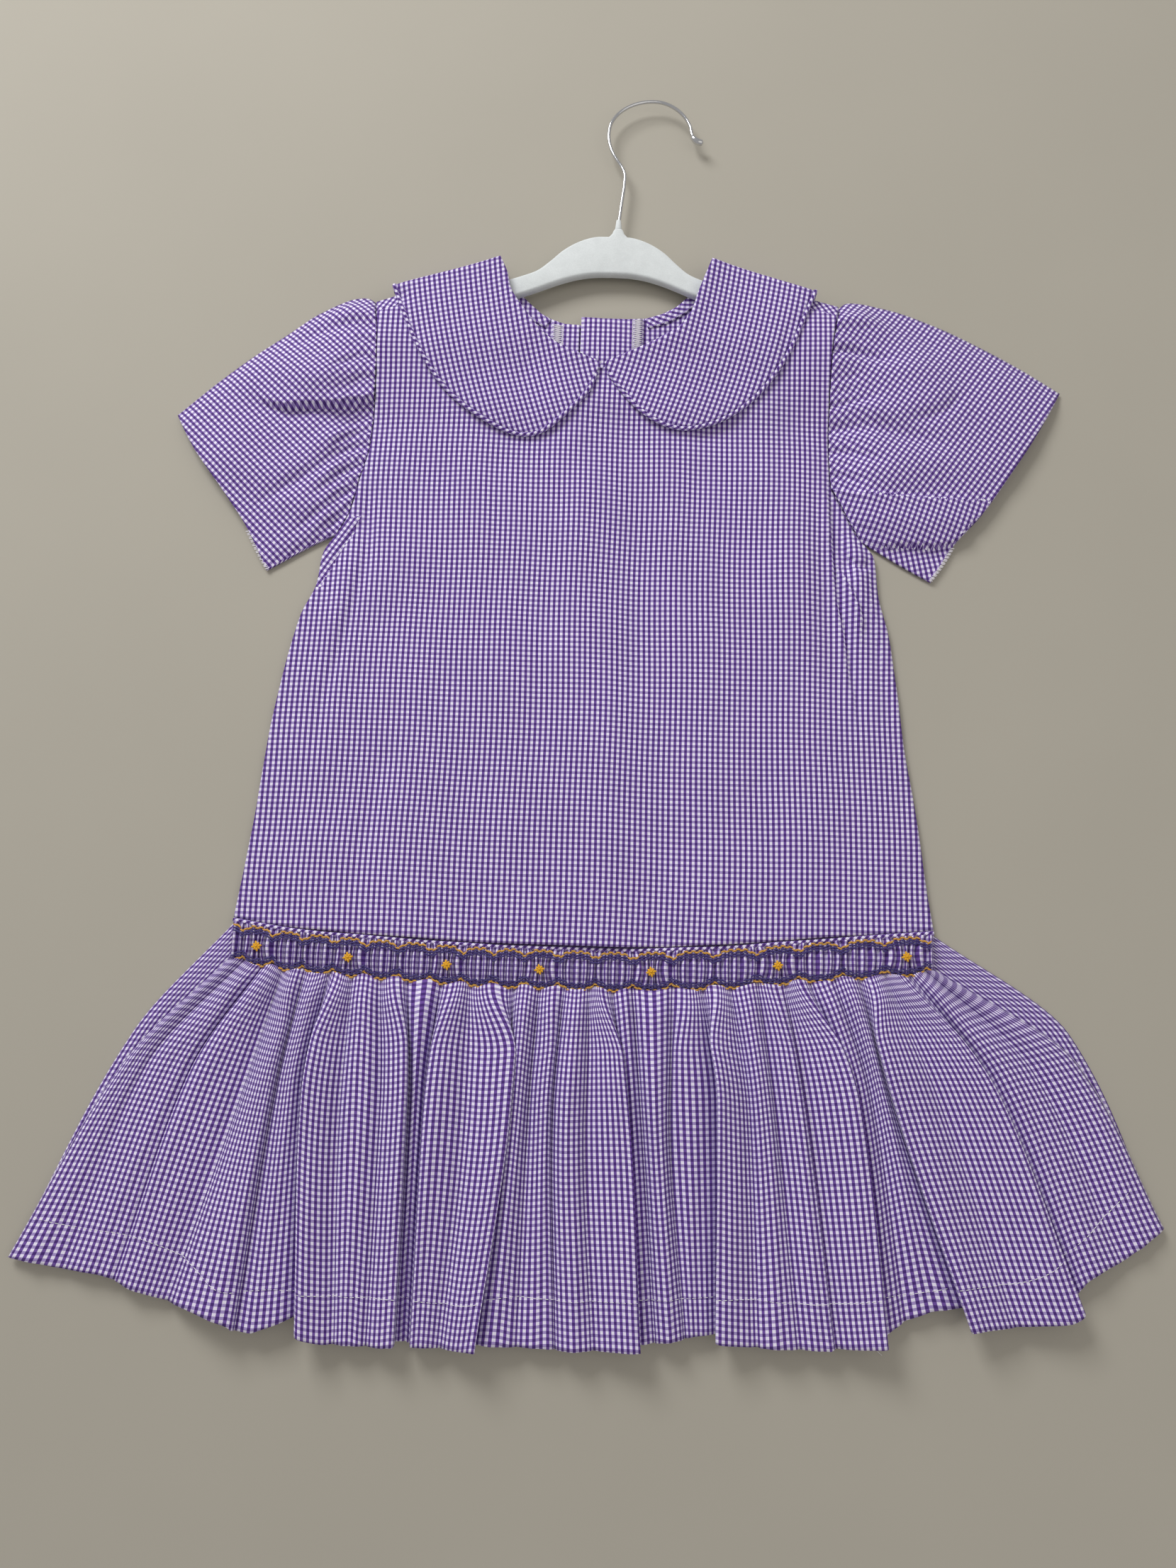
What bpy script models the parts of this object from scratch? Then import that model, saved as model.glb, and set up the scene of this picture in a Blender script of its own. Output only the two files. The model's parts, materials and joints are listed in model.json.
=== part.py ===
"""A girl's smocked dress, laid flat on a floor on a child's hanger.

Tables are in millimetres, seen from above: +X to the dress's left side as worn (right in plan), +Y from
hem to collar, +Z up from the floor. Every cloth piece is a closed wall of its own, 0.3 mm clear of the next.
"""

import bmesh
import bpy
import math
import numpy as np
from mathutils import Vector
from mathutils.bvhtree import BVHTree

MM = 0.001

# Cloth and seams
WALL = 1.2
COLLAR_WALL = 1.6
GAP = 0.3
PIPING_RADIUS = 1.3

# Where the middle of the whole outline lies from the dress's centre line and chest line
OUTLINE_CENTRE = (7.4, 0.6)

# How far the back lies off the floor where the collar's back half passes under it
COLLAR_LIFT = 2.9
LIFT_FROM = 150.0
LIFT_TO = 165.0

# Centre back placket, the right half lapped over the left
LAP_LEFT = -14.5
LAP_RIGHT = 8.0
LAP_RAMP = 12.0
LAP_LIFT = WALL + GAP
# x where the front starts to rise over the lap, is up on it, starts down and is down again
LAP_COVER = (-28.5, -18.5, 9.0, 24.0)

# Side seam and armhole of each side: rows of (y, x)
LEFT_SIDE = [(-163, -199), (-129, -195), (-99, -192), (-50, -188), (-8, -182), (21, -176), (42, -168),
             (60, -166), (78, -156), (90, -151), (110, -147), (134, -142), (170, -140.6), (200, -141),
             (228, -144)]
RIGHT_SIDE = [(-157, 198), (-129, 194), (-85, 189), (-50, 183.5), (-14, 180), (18, 176), (45, 170),
              (68, 168), (82, 158), (100, 149), (116, 142), (140, 140.6), (172, 141), (200, 142),
              (234, 147)]

# Waist seam under the piping: rows of (x, y)
WAIST = [(-199, -162), (-161, -167), (-103, -170), (-44, -172), (15, -172), (73, -169), (132, -163),
         (198, -156.5)]

# Shoulder seams and neck edge of the front, left tip to right tip: rows of (x, y)
FRONT_LEFT_NECK = -67.0
FRONT_RIGHT_NECK = 67.0
FRONT_TOP = [(-144, 228.5), (-105, 242), (FRONT_LEFT_NECK, 255), (-61.5, 239), (-53, 221), (-38, 204.5),
             (-27, 197.5), (-14, 191.5), (0, 186.5), (16, 194.5), (34, 203.5), (46, 209), (55, 221),
             (59.5, 238), (FRONT_RIGHT_NECK, 258), (105, 246), (147, 234)]

# Neck edge of the back, seen inside the collar: rows of (x, y)
BACK_LEFT_NECK = [(-67, 254), (-51, 237), (-40, 226.5), (-32, 222), (-25, 219.7), (-14, 219),
                  (LAP_RIGHT, 219)]
BACK_RIGHT_NECK = [(LAP_LEFT, 224), (0, 223.3), (19, 224.2), (27, 225.5), (36, 228.7), (45, 234), (67, 257)]

# Heights above the hem side at which every bodice panel has a row, then shares of the way to its top edge
PANEL_ROWS = (-120, -75, -30, 10, 45, 66, 82, 98, 114, 131, LIFT_FROM, 157.5, LIFT_TO)
PANEL_TOP_SHARES = (0.3, 0.58, 0.8, 1.0)
PANEL_HEM = 6.0

# Soft form of the front: how high it stands off the back, its lengthwise waves, and the tuck on the right
FRONT_PUFF = 1.8
FRONT_SIDE_POWER = 6
FRONT_REST = 0.2
FRONT_WAVE = 0.8
FRONT_WAVE_PITCH = 58.0
FRONT_WAVE_SLANT = 0.12
TUCK = [(118, 143), (60, 143), (20, 147), (-45, 158)]
TUCK_ENDS = (-60.0, -10.0, 100.0, 125.0)
TUCK_DEPTH = 3.2
TUCK_WIDTH = 7.0

# How the front goes over the hanger's arms: its clearance, how far below an arm's lower edge it starts up
# and is up, how far from the shoulder seam it turns down, from and to which distance off the hanger's centre,
# and its blend
ARM_CLEAR = 0.9
ARM_RISE = (-56.0, -22.0)
SHOULDER_TURN = (-6.5, -1.0)
SHOULDER_TURN_SPAN = (68.0, 95.0)
COVER_BLEND = 1.2
COVER_BLEND_SPAN = (0.5, 3.0)

# Hanger: half outline from its centre line, rows of (dx, y of the top edge, y of the bottom edge)
HANGER_CENTRE = 4.5
HANGER_HALF = [(0, 279.5, 252.3), (12, 279, 251.8), (22, 275.5, 250), (32, 269, 246.8), (40, 261, 243.5),
               (48, 254, 240), (58, 249.5, 236), (90, 240, 226), (120, 231, 217), (125, 227, 220)]
HANGER_THICK = 6.0
HANGER_LOW = COLLAR_LIFT + WALL + GAP
HANGER_EDGE = 1.6
NECK_X = 7.0
NECK_FOOT = (6.0, 279.4)
NECK_HALF = 2.6
NECK_TOP = 285.6
FERRULE_TOP = 292.7
FERRULE_RADII = (2.3, 1.5)
HOOK_RADIUS = 1.1
HOOK_STEPS = 34
HOOK_PATH = [(7.2, 293.1), (8.7, 307), (10, 320), (10, 327), (8.4, 331.5), (5.2, 336.7), (1.5, 343.5),
             (-0.6, 350.5), (-1.1, 357.5), (0, 364.5), (3, 370.3), (8, 375.6), (15.5, 380), (25, 382.3),
             (34, 381.6), (42, 377.6), (48.2, 371.3), (51.8, 364.5), (53.4, 357.5), (54.8, 354.6),
             (57.4, 352.8)]
HOOK_TIP = (60.6, 352.3)
HOOK_TIP_SWELL = 1.9
HOOK_TIP_ANGLES = (150, 123, 96, 69, 42, 15)

# Collar halves seen from above, neck edge and outline, centre front to shoulder: rows of (x, y)
LEFT_COLLAR_NECK = [(-1, 189.5), (-14, 194.2), (-26, 199.4), (-36, 206), (-50, 222), (-59, 236),
                    (-62, 248), (-66.5, 258)]
LEFT_COLLAR_RIM = [(-0.8, 182.5), (-6, 170), (-14, 160), (-24, 150), (-34, 142.5), (-44, 139.6),
                   (-56, 141), (-68, 146), (-80, 153), (-96, 166), (-110, 184), (-120, 202),
                   (-128, 221), (-134, 236.3)]
RIGHT_COLLAR_NECK = [(1, 189.5), (6, 192.5), (16, 197), (34, 206), (46, 212.5), (54, 224), (58, 237),
                     (66.5, 261)]
RIGHT_COLLAR_RIM = [(1.0, 182.5), (12, 168), (22, 158), (34, 150), (50, 146), (66, 149), (84, 158),
                    (100, 173), (112, 190), (120, 206), (126, 222), (133.2, 240.6)]
COLLAR_SECTIONS = 13
COLLAR_COLUMNS = 7
COLLAR_FOLD_OUT = 2.6
COLLAR_FOLD = ((0.8, 0.75), (0.5, 1.0), (0.2, 0.8), (0.0, 0.1))
COLLAR_REACH = 10.0
COLLAR_ROLL = 2.2
COLLAR_ROLL_SHARE = 0.35
COLLAR_ROLL_RUN = 3
COLLAR_BACK_SECTIONS = 5
COLLAR_PIPING_STEPS = 38
WAIST_PIPING_STEPS = 25
WAIST_PIPING_CLEAR = 0.6
# Back half of each collar on the floor, shoulder to centre back: rows of (x, y), for the left collar
COLLAR_BACK_NECK = [(-67, 249), (-54, 236), (-38, 222), (-18, 216)]
COLLAR_BACK_RIM = [(-127, 218), (-110, 194), (-82, 176), (-50, 171), (-25, 174)]

# Smocking: centre of each flowerette along the band, and the two plain cells between neighbours
FLOWERS = [-183, -131.4, -76, -24, 38.4, 109, 181]
CELLS_BETWEEN = 2
PLEATS_PER_CELL = 5
BAND_TOP_DROP = PIPING_RADIUS + GAP
BAND_DEPTH = 20.5
BAND_LOW = 2.0
BAND_PROFILE = (0.35, 0.8, 1.0, 0.8, 0.45)
BAND_ROUND = 1.2
PLEAT_HEIGHT = 2.3
PLEAT_HELD = 1.3
SCALLOP = 2.0
FLOWER_PULL = -0.3
CELL_PULL = 0.1
BAND_END = 0.5
BAND_END_PLEATS = 4
END_CELL = 10.0

# Hem line of the front, left corner to right corner: rows of (x, y)
HEM = [(-302, -345.5), (-277, -349), (-236, -355.5), (-216, -363), (-198, -371.5), (-183, -376),
       (-167, -377.5), (-152, -372), (-143, -368), (-139, -376), (-126, -381.5), (-103, -382),
       (-87, -379.5), (-84, -381), (-54, -382), (-50, -379.5), (0, -380.5), (32, -379), (36, -377),
       (78, -370.5), (84, -373), (100, -376), (132, -376), (160, -372), (164, -369), (176, -361),
       (191, -355.5), (208, -353.5), (217, -364.5), (248, -358.5), (265, -351), (270, -343.5),
       (286, -332.5), (317, -310.5)]
SKIRT_STATIONS = (0.0, 0.35, 1.0)
SKIRT_BACK_INSET = 2.0
SKIRT_BACK_SHORT = 4.0
# Gathered folds of the front skirt, one row each, from the fold's left valley: x under the band, x a third of
# the way down, x at the hem, then the fold's height at those three places and its lean to the right
SKIRT_FOLDS = [
    # top, mid, hem, high_top, high_mid, high_hem, lean
    (-200, -251, -302, 4.0, 3.0, 2.2, 0.0),
    (-190, -238, -272, 7.0, 4.0, 3.0, 0.1),
    (-179, -214, -243, 7.0, 5.0, 3.5, -0.1),
    (-168, -183, -214, 8.0, 8.5, 8.5, 0.15),
    (-155, -166, -176, 8.0, 7.0, 6.0, 0.0),
    (-142, -149, -143, 8.5, 10.5, 9.5, -0.2),
    (-129, -130, -124, 8.0, 7.5, 6.0, 0.0),
    (-113, -108, -107, 8.5, 9.5, 8.0, 0.2),
    (-98, -93, -92, 8.0, 5.0, 1.6, 0.0),
    (-79, -84, -84, 9.0, 10.0, 6.5, -0.15),
    (-63, -62, -68, 9.0, 10.5, 10.5, 0.3),
    (-38, -40, -52, 9.5, 8.5, 6.0, 0.0),
    (-24, -27, -28, 8.5, 8.0, 5.0, 0.1),
    (-10, -14, -8, 9.0, 9.5, 7.5, 0.0),
    (4, 4, 12, 8.5, 9.5, 9.5, 0.3),
    (17, 24, 33, 7.5, 5.0, 4.0, 0.0),
    (28, 34, 44, 8.5, 9.0, 6.5, 0.0),
    (51, 50, 60, 8.0, 6.5, 4.0, -0.1),
    (67, 78, 79, 8.5, 10.5, 9.0, -0.3),
    (83, 93, 98, 8.0, 8.0, 6.5, 0.0),
    (98, 107, 120, 8.0, 8.0, 6.5, 0.1),
    (113, 124, 139, 8.0, 9.5, 9.5, 0.3),
    (127, 148, 161, 8.0, 5.5, 3.5, 0.0),
    (141, 160, 176, 8.0, 5.5, 3.0, 0.0),
    (155, 170, 209, 8.5, 9.5, 9.0, -0.2),
    (169, 196, 234, 8.0, 8.5, 7.5, 0.2),
    (183, 226, 268, 7.0, 6.0, 4.0, -0.1),
    (192, 250, 293, 4.5, 3.5, 2.5, 0.0),
]
SKIRT_RIGHT_EDGE = (199, 274, 317)
FOLD_STEPS = 4
FOLD_ROUND = 0.75
FOLD_CLEAR = 0.2
SEAM_HEIGHT = 2.6
SEAM_RUN = 0.09
LEAN_RUN = 0.2
SKIRT_ROWS = (0.0, 0.05, 0.13, 0.27, 0.46, 0.72, 1.0)
SKIRT_BACK_COLUMNS = 15
FLAT_LEVEL = 2 * WALL + 2 * GAP

# Sleeves: plan edges of each, from the armhole to the cuff and across the cuff, rows of (x, y)
LEFT_SLEEVE_UPPER = [(-144.5, 230), (-150, 233.5), (-157, 234), (-180, 224), (-200, 208), (-220, 192),
                     (-240, 174), (-264, 150)]
LEFT_SLEEVE_LOWER = [(-160, 73), (-174, 65), (-188, 56), (-199, 49)]
LEFT_SLEEVE_CUFF = [(-264, 150), (-250, 126), (-232, 102), (-214, 77), (-199, 49)]
LEFT_SLEEVE_FOLD = [(-142, 172), (-165, 162), (-200, 160), (-218, 171)]
RIGHT_SLEEVE_UPPER = [(147.6, 235.5), (152, 239.5), (162, 241), (176, 239), (208, 228), (240, 212),
                      (264, 198), (286.5, 183)]
RIGHT_SLEEVE_LOWER = [(163, 79), (175, 70), (190, 61), (202, 54.4)]
RIGHT_SLEEVE_CUFF = [(286.5, 183), (268, 150), (250, 122), (235, 100), (217, 79), (202, 54.4)]
RIGHT_SLEEVE_FOLD = [(146, 88), (170, 79), (190, 79), (217, 80.5)]
SLEEVE_COLUMNS = 17
SLEEVE_ROWS = 9
ARMHOLE_GAP = 0.5
SLEEVE_FOLD_RUN = 7.0
SLEEVE_FOLD_DROP = 3.0
SLEEVE_FOLD_STEPS = 12
LEFT_FOLD_FADE = (-235.0, -205.0)
# Share of the way from armhole to cuff, and how high the upper layer stands there
SLEEVE_PUFF = [(0.0, 4.5), (0.22, 8.0), (0.6, 6.5), (1.0, 3.2)]
SLEEVE_EDGE = 3.0
SLEEVE_ROUND = 3.2
SLEEVE_SEAM_RUN = 0.3
SLEEVE_LIFT_RUN = 0.18
SLEEVE_GATHERS = 9
GATHER_HEIGHT = 1.5
GATHER_RUN = (0.05, 0.6)
SEAM_GATHER = 0.6
# Places of the under layer's columns, as shares across the upper layer
SLEEVE_UNDER = (0.93, 0.7, 0.5, 0.3, 0.07)

# Centre back facings turned to the inside
FACING_LEFT = (-33.0, LAP_LEFT - 1.0)
FACING_RIGHT = (LAP_LEFT + 1.0, 25.0)
FACING_LOW = 176.0
FACING_WALL = 1.0
FACING_DROP = 0.6
FACING_REACH = 1.5
FACING_STEPS = 5

# Colours and finishes
GINGHAM = (0.36, 0.24, 0.62, 1.0)
BIAS_GINGHAM = (0.62, 0.54, 0.78, 1.0)
FLOCK = (0.80, 0.83, 0.84, 1.0)
STEEL = (0.72, 0.72, 0.72, 1.0)


def hermite(knots, values, slopes, t):
    """Cubic pieces through the values at the knots with the given slopes."""
    place = np.clip(np.searchsorted(knots, t, side="right") - 1, 0, len(knots) - 2)
    width = knots[place + 1] - knots[place]
    s = (t - knots[place]) / width
    a, b = values[place], values[place + 1]
    ma, mb = slopes[place] * width, slopes[place + 1] * width
    rising = 3 * s**2 - 2 * s**3
    return (1 - rising) * a + (s**3 - 2 * s**2 + s) * ma + rising * b + (s**3 - s**2) * mb


def ease(rows, t):
    """Value at t on a smooth line through rows of (t, value) that never overshoots them."""
    table = np.array(sorted(rows), float)
    knots, values = table[:, 0], table[:, 1]
    t = np.clip(np.asarray(t, float), knots[0], knots[-1])
    steps = np.diff(values) / np.diff(knots)
    slopes = np.zeros(len(knots))
    slopes[0], slopes[-1] = steps[0], steps[-1]
    for i in range(1, len(knots) - 1):
        if steps[i - 1] * steps[i] > 0:
            slopes[i] = 2 / (1 / steps[i - 1] + 1 / steps[i])
    return hermite(knots, values, slopes, t)


def path(points, count):
    """Evenly spaced points along a smooth curve through the given plan points."""
    points = np.array(points, float)
    knots = np.concatenate([[0.0], np.cumsum(np.linalg.norm(np.diff(points, axis=0), axis=1))])
    slopes = np.gradient(points, knots, axis=0)
    t = np.linspace(0.0, knots[-1], count)
    return np.stack([hermite(knots, points[:, k], slopes[:, k], t) for k in range(points.shape[1])], axis=1)


def inset(points, distance):
    """Plan curve moved to its left-hand side by a distance."""
    run = np.gradient(points, axis=0)
    run /= np.linalg.norm(run, axis=1)[:, None]
    return points + distance * np.stack([-run[:, 1], run[:, 0]], axis=1)


def step(low, high, t):
    """Smooth step from 0 at low to 1 at high."""
    s = np.clip((np.asarray(t, float) - low) / (high - low), 0.0, 1.0)
    return s * s * (3 - 2 * s)


def coons(start, end, first, last):
    """Plan patch: rows run from the start curve to the end curve, between the first and last edges."""
    rows, cols = len(first), len(start)
    v = np.linspace(0, 1, rows)[:, None, None]
    u = np.linspace(0, 1, cols)[None, :, None]
    across = (1 - v) * start[None] + v * end[None]
    along = (1 - u) * first[:, None] + u * last[:, None]
    corners = (1 - v) * ((1 - u) * start[0] + u * start[-1]) + v * ((1 - u) * end[0] + u * end[-1])
    return across + along - corners


def material(name, colour, roughness, metallic=0.0):
    """Plain Principled finish."""
    made = bpy.data.materials.new(name)
    made.use_nodes = True
    shader = made.node_tree.nodes["Principled BSDF"]
    shader.inputs["Base Color"].default_value = colour
    shader.inputs["Roughness"].default_value = roughness
    shader.inputs["Metallic"].default_value = metallic
    made.diffuse_color = colour
    return made


def place(name, data, finish):
    """Object in the dress's collection, under the empty that carries the whole dress."""
    made = bpy.data.objects.new(name, data)
    made.data.materials.append(finish)
    COLLECTION.objects.link(made)
    made.parent = ROOT
    return made


def sheet(name, grid, finish, wall=WALL, ring=False, side=-1.0):
    """Open surface through rows of points, given its wall by Solidify on the side named."""
    rows, cols = grid.shape[:2]
    points = np.concatenate([grid, grid[:, :1]], axis=1) if ring else grid
    bm = bmesh.new()
    bmesh.ops.create_grid(bm, x_segments=points.shape[1] - 1, y_segments=rows - 1, size=1.0)
    bm.verts.ensure_lookup_table()
    for vertex, point in zip(bm.verts, points.reshape(-1, 3)):
        vertex.co = Vector(point) * MM
    if ring:
        bmesh.ops.remove_doubles(bm, verts=bm.verts, dist=1e-6)
    mesh = bpy.data.meshes.new(name)
    bm.to_mesh(mesh)
    bm.free()
    made = place(name, mesh, finish)
    solid = made.modifiers.new("wall", "SOLIDIFY")
    solid.thickness = wall * MM
    solid.offset = side
    mesh.shade_smooth()
    return made


def relief(name, outer, inner, finish):
    """Closed wall between an outer grid and a plain inner edge pair, lofted by hand."""
    rows, cols = outer.shape[:2]
    bm = bmesh.new()
    face = [[bm.verts.new(Vector(p) * MM) for p in row] for row in outer]
    back = [[bm.verts.new(Vector(p) * MM) for p in row] for row in inner]
    for j in range(cols - 1):
        for i in range(rows - 1):
            bm.faces.new((face[i][j], face[i][j + 1], face[i + 1][j + 1], face[i + 1][j]))
        bm.faces.new((back[1][j], back[1][j + 1], back[0][j + 1], back[0][j]))
        bm.faces.new((back[0][j], back[0][j + 1], face[0][j + 1], face[0][j]))
        bm.faces.new((face[-1][j], face[-1][j + 1], back[1][j + 1], back[1][j]))
    for j, turn in ((0, 1), (cols - 1, -1)):
        loop = [face[i][j] for i in range(rows)] + [back[1][j], back[0][j]]
        bm.faces.new(loop[::turn])
    bmesh.ops.recalc_face_normals(bm, faces=bm.faces)
    mesh = bpy.data.meshes.new(name)
    bm.to_mesh(mesh)
    bm.free()
    return place(name, mesh, finish)


def cord(name, points, radius, finish, swell=None, resolution=2):
    """Round cord or wire along a polyline, with filled ends."""
    data = bpy.data.curves.new(name, "CURVE")
    data.dimensions = "3D"
    data.bevel_depth = radius * MM
    data.bevel_resolution = resolution
    data.use_fill_caps = True
    spline = data.splines.new("POLY")
    spline.points.add(len(points) - 1)
    for i, (x, y, z) in enumerate(points):
        spline.points[i].co = (x * MM, y * MM, z * MM, 1.0)
        spline.points[i].radius = swell[i] if swell is not None else 1.0
    return place(name, data, finish)


def lift(y):
    """Height of the back off the floor over the collar's back half."""
    return COLLAR_LIFT * step(LIFT_FROM, LIFT_TO, y)


def back_top(x, y):
    """Upper face of the back, lap included."""
    lap = LAP_LIFT * step(*LAP_COVER[:2], x) * (1 - step(*LAP_COVER[2:], x))
    return lift(y) + lap + WALL


def shoulder_line(x):
    """Where the shoulder seams lie in plan, level with the neck points between them."""
    rows = FRONT_TOP[:3] + FRONT_TOP[-3:]
    return np.interp(x, [row[0] for row in rows], [row[1] for row in rows])


def arm_cover(x, y):
    """Height that clears the hanger's arms, falls away below them and turns down at the shoulder seam."""
    dx = np.abs(x - HANGER_CENTRE)
    low = ease([(row[0], row[2]) for row in HANGER_HALF[:-1]], dx)
    below = step(*ARM_RISE, y - low)
    turned = step(*SHOULDER_TURN, y - shoulder_line(x)) * step(*SHOULDER_TURN_SPAN, dx)
    return (HANGER_LOW + HANGER_THICK + ARM_CLEAR) * below * (1 - turned)


def front_low(x, y):
    """Under face of the front: on the back, over the hanger, softly raised between."""
    left = ease(LEFT_SIDE, y)
    right = ease(RIGHT_SIDE, y)
    across = np.clip(2 * (x - left) / (right - left) - 1, -1, 1)
    body = 1 - across**FRONT_SIDE_POWER
    wave = FRONT_WAVE * (1 + np.cos(2 * np.pi * (x + FRONT_WAVE_SLANT * y) / FRONT_WAVE_PITCH))
    tuck = TUCK_DEPTH * np.exp(-((x - ease(TUCK, y)) / TUCK_WIDTH) ** 2)
    tuck = tuck * step(*TUCK_ENDS[:2], y) * (1 - step(*TUCK_ENDS[2:], y))
    rest = back_top(x, y) + GAP
    flat = np.maximum(rest + FRONT_REST, rest + (FRONT_PUFF + wave) * body - tuck)
    cover = arm_cover(x, y)
    high = np.maximum(flat, cover)
    low = np.minimum(flat, cover)
    blend = COVER_BLEND * np.log1p(np.exp((low - high) / COVER_BLEND))
    return high + blend * step(*COVER_BLEND_SPAN, cover)


def panel_points(columns, top):
    """Plan grid of a bodice panel along its columns, each a rule for x at y, from waist seam to top edge."""
    grid = np.zeros((len(PANEL_ROWS) + len(PANEL_TOP_SHARES) + 2, len(columns), 2))
    for j, column in enumerate(columns):
        low_y = float(ease(WAIST, column(WAIST[0][1]))) + BAND_TOP_DROP
        high_y = float(np.interp(column(FRONT_TOP[0][1]), *zip(*top)))
        reach = high_y - PANEL_HEM - PANEL_ROWS[-1]
        upper = [PANEL_ROWS[-1] + share * reach for share in PANEL_TOP_SHARES]
        for i, y in enumerate([low_y, *PANEL_ROWS, *upper, high_y]):
            grid[i, j] = (column(y), y)
    return grid


def left_side(y):
    """Left side seam and armhole."""
    return ease(LEFT_SIDE, y)


def right_side(y):
    """Right side seam and armhole."""
    return ease(RIGHT_SIDE, y)


def between(start, end, share):
    """Column that keeps a share of the way from one edge rule to another."""
    return lambda y: start(y) + share * (end(y) - start(y))


def upright(x):
    """Edge rule that stays at one x."""
    return lambda y: x + 0.0 * y


def bodice_front():
    """Front bodice, one smooth panel from waist piping to shoulders and neck, and its upper points."""
    left_top, right_top = FRONT_TOP[0][0], FRONT_TOP[-1][0]
    span = right_top - left_top
    left_neck = (FRONT_LEFT_NECK - left_top) / span
    right_neck = (FRONT_RIGHT_NECK - left_top) / span
    shares = np.concatenate([np.linspace(0, left_neck, 7)[:-1], np.linspace(left_neck, right_neck, 13)[:-1],
                             np.linspace(right_neck, 1, 7)])
    plan = panel_points([between(left_side, right_side, share) for share in shares], FRONT_TOP)
    z = front_low(plan[..., 0], plan[..., 1])
    return sheet("bodice_front", np.dstack([plan, z]), CLOTH, side=1.0), np.dstack([plan, z + WALL])


def bodice_back_left():
    """Left half of the back, flat on the floor and lifted over the collar's back half."""
    columns = [between(left_side, upright(LAP_RIGHT), share) for share in np.linspace(0, 1, 9)]
    plan = panel_points(columns, FRONT_TOP[:2] + BACK_LEFT_NECK)
    return sheet("bodice_back_left", np.dstack([plan, lift(plan[..., 1])]), CLOTH, side=1.0)


def bodice_back_right():
    """Right half of the back, lapped over the left half at the placket."""
    foot = LAP_RIGHT + LAP_RAMP
    columns = [upright(LAP_LEFT), upright(LAP_RIGHT + 2.0), upright(foot)]
    columns += [between(upright(foot), right_side, share) for share in np.linspace(0, 1, 8)[1:]]
    plan = panel_points(columns, BACK_RIGHT_NECK + FRONT_TOP[-2:])
    lap = LAP_LIFT * (1 - step(LAP_RIGHT + 2.0, foot, plan[..., 0]))
    return sheet("bodice_back_right", np.dstack([plan, lift(plan[..., 1]) + lap]), CLOTH, side=1.0)


def surface_of(made):
    """Lookup of the highest point of an object's evaluated surface at a plan place, in millimetres."""
    graph = bpy.context.evaluated_depsgraph_get()
    graph.update()
    tree = BVHTree.FromObject(made, graph)

    def height(x, y, reach=0.0):
        turns = np.arange(0, 2 * math.pi, math.pi / 4)
        around = [(0, 0)] + [(r * math.cos(a), r * math.sin(a)) for r in (reach / 2, reach) for a in turns]
        best = None
        for dx, dy in around:
            hit = tree.ray_cast(Vector(((x + dx) * MM, (y + dy) * MM, 1.0)), Vector((0, 0, -1)))[0]
            if hit is not None:
                best = hit.z / MM if best is None else max(best, hit.z / MM)
        return best

    return height


def resting(height, x, y):
    """Under face height of what lies on the front at a plan place."""
    found = height(x, y, COLLAR_REACH)
    if found is None:
        found = float(front_low(x, y)) + WALL
    return found + GAP


def collar(side, neck, rim, height):
    """Half collar and its piping: on the front, round the shoulder and flat on the floor at the back."""
    turn = -1.0 if side == "left" else 1.0
    edge = 2 * PIPING_RADIUS + GAP
    inner = path(neck, COLLAR_SECTIONS)
    outer = inset(path(rim, COLLAR_SECTIONS), turn * edge)
    across = np.linspace(0, 1, COLLAR_COLUMNS)
    rows = []
    for k in range(COLLAR_SECTIONS):
        points = inner[k] + across[:, None] * (outer[k] - inner[k])
        low = np.array([resting(height, x, y) for x, y in points])
        near_neck = np.clip(1 - across / COLLAR_ROLL_SHARE, 0, 1) ** 2
        roll = COLLAR_ROLL * near_neck * step(0, COLLAR_ROLL_RUN, k)
        rows.append(np.column_stack([points, low + roll + COLLAR_WALL]))
    shoulder = rows[-1]
    run = shoulder[-1, :2] - shoulder[0, :2]
    out = turn * np.array([-run[1], run[0]]) / np.linalg.norm(run)
    for share, reach in COLLAR_FOLD:
        bent = shoulder[:, :2] + out * COLLAR_FOLD_OUT * reach
        rows.append(np.column_stack([bent, shoulder[:, 2] * share]))
    flip = np.array([-turn, 1.0])
    back_inner = path(COLLAR_BACK_NECK, COLLAR_BACK_SECTIONS) * flip
    back_outer = path(COLLAR_BACK_RIM, COLLAR_BACK_SECTIONS) * flip
    for a, b in zip(back_inner, back_outer):
        rows.append(np.column_stack([a + across[:, None] * (b - a), np.zeros(COLLAR_COLUMNS)]))
    grid = np.array(rows)
    sheet("collar_" + side, grid if side == "right" else grid[:, ::-1], CLOTH, wall=COLLAR_WALL)

    hem = grid[:, -1]
    plan = inset(hem[:COLLAR_SECTIONS, :2], -turn * (PIPING_RADIUS + GAP))
    front = np.column_stack([plan, hem[:COLLAR_SECTIONS, 2] - COLLAR_WALL + PIPING_RADIUS])
    away = front[-1, :2] - hem[COLLAR_SECTIONS - 1, :2]
    turned = COLLAR_SECTIONS + len(COLLAR_FOLD)
    around = hem[COLLAR_SECTIONS:turned] + np.append(away, 0.0)
    plan = inset(hem[turned:, :2], turn * (PIPING_RADIUS + 2 * GAP))
    back = np.column_stack([plan, np.full(len(plan), PIPING_RADIUS)])
    line = path(np.concatenate([front, around, back]), COLLAR_PIPING_STEPS)
    line[:, 2] = np.maximum(line[:, 2], PIPING_RADIUS)
    cord("collar_piping_" + side, line, PIPING_RADIUS, BIAS)


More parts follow.
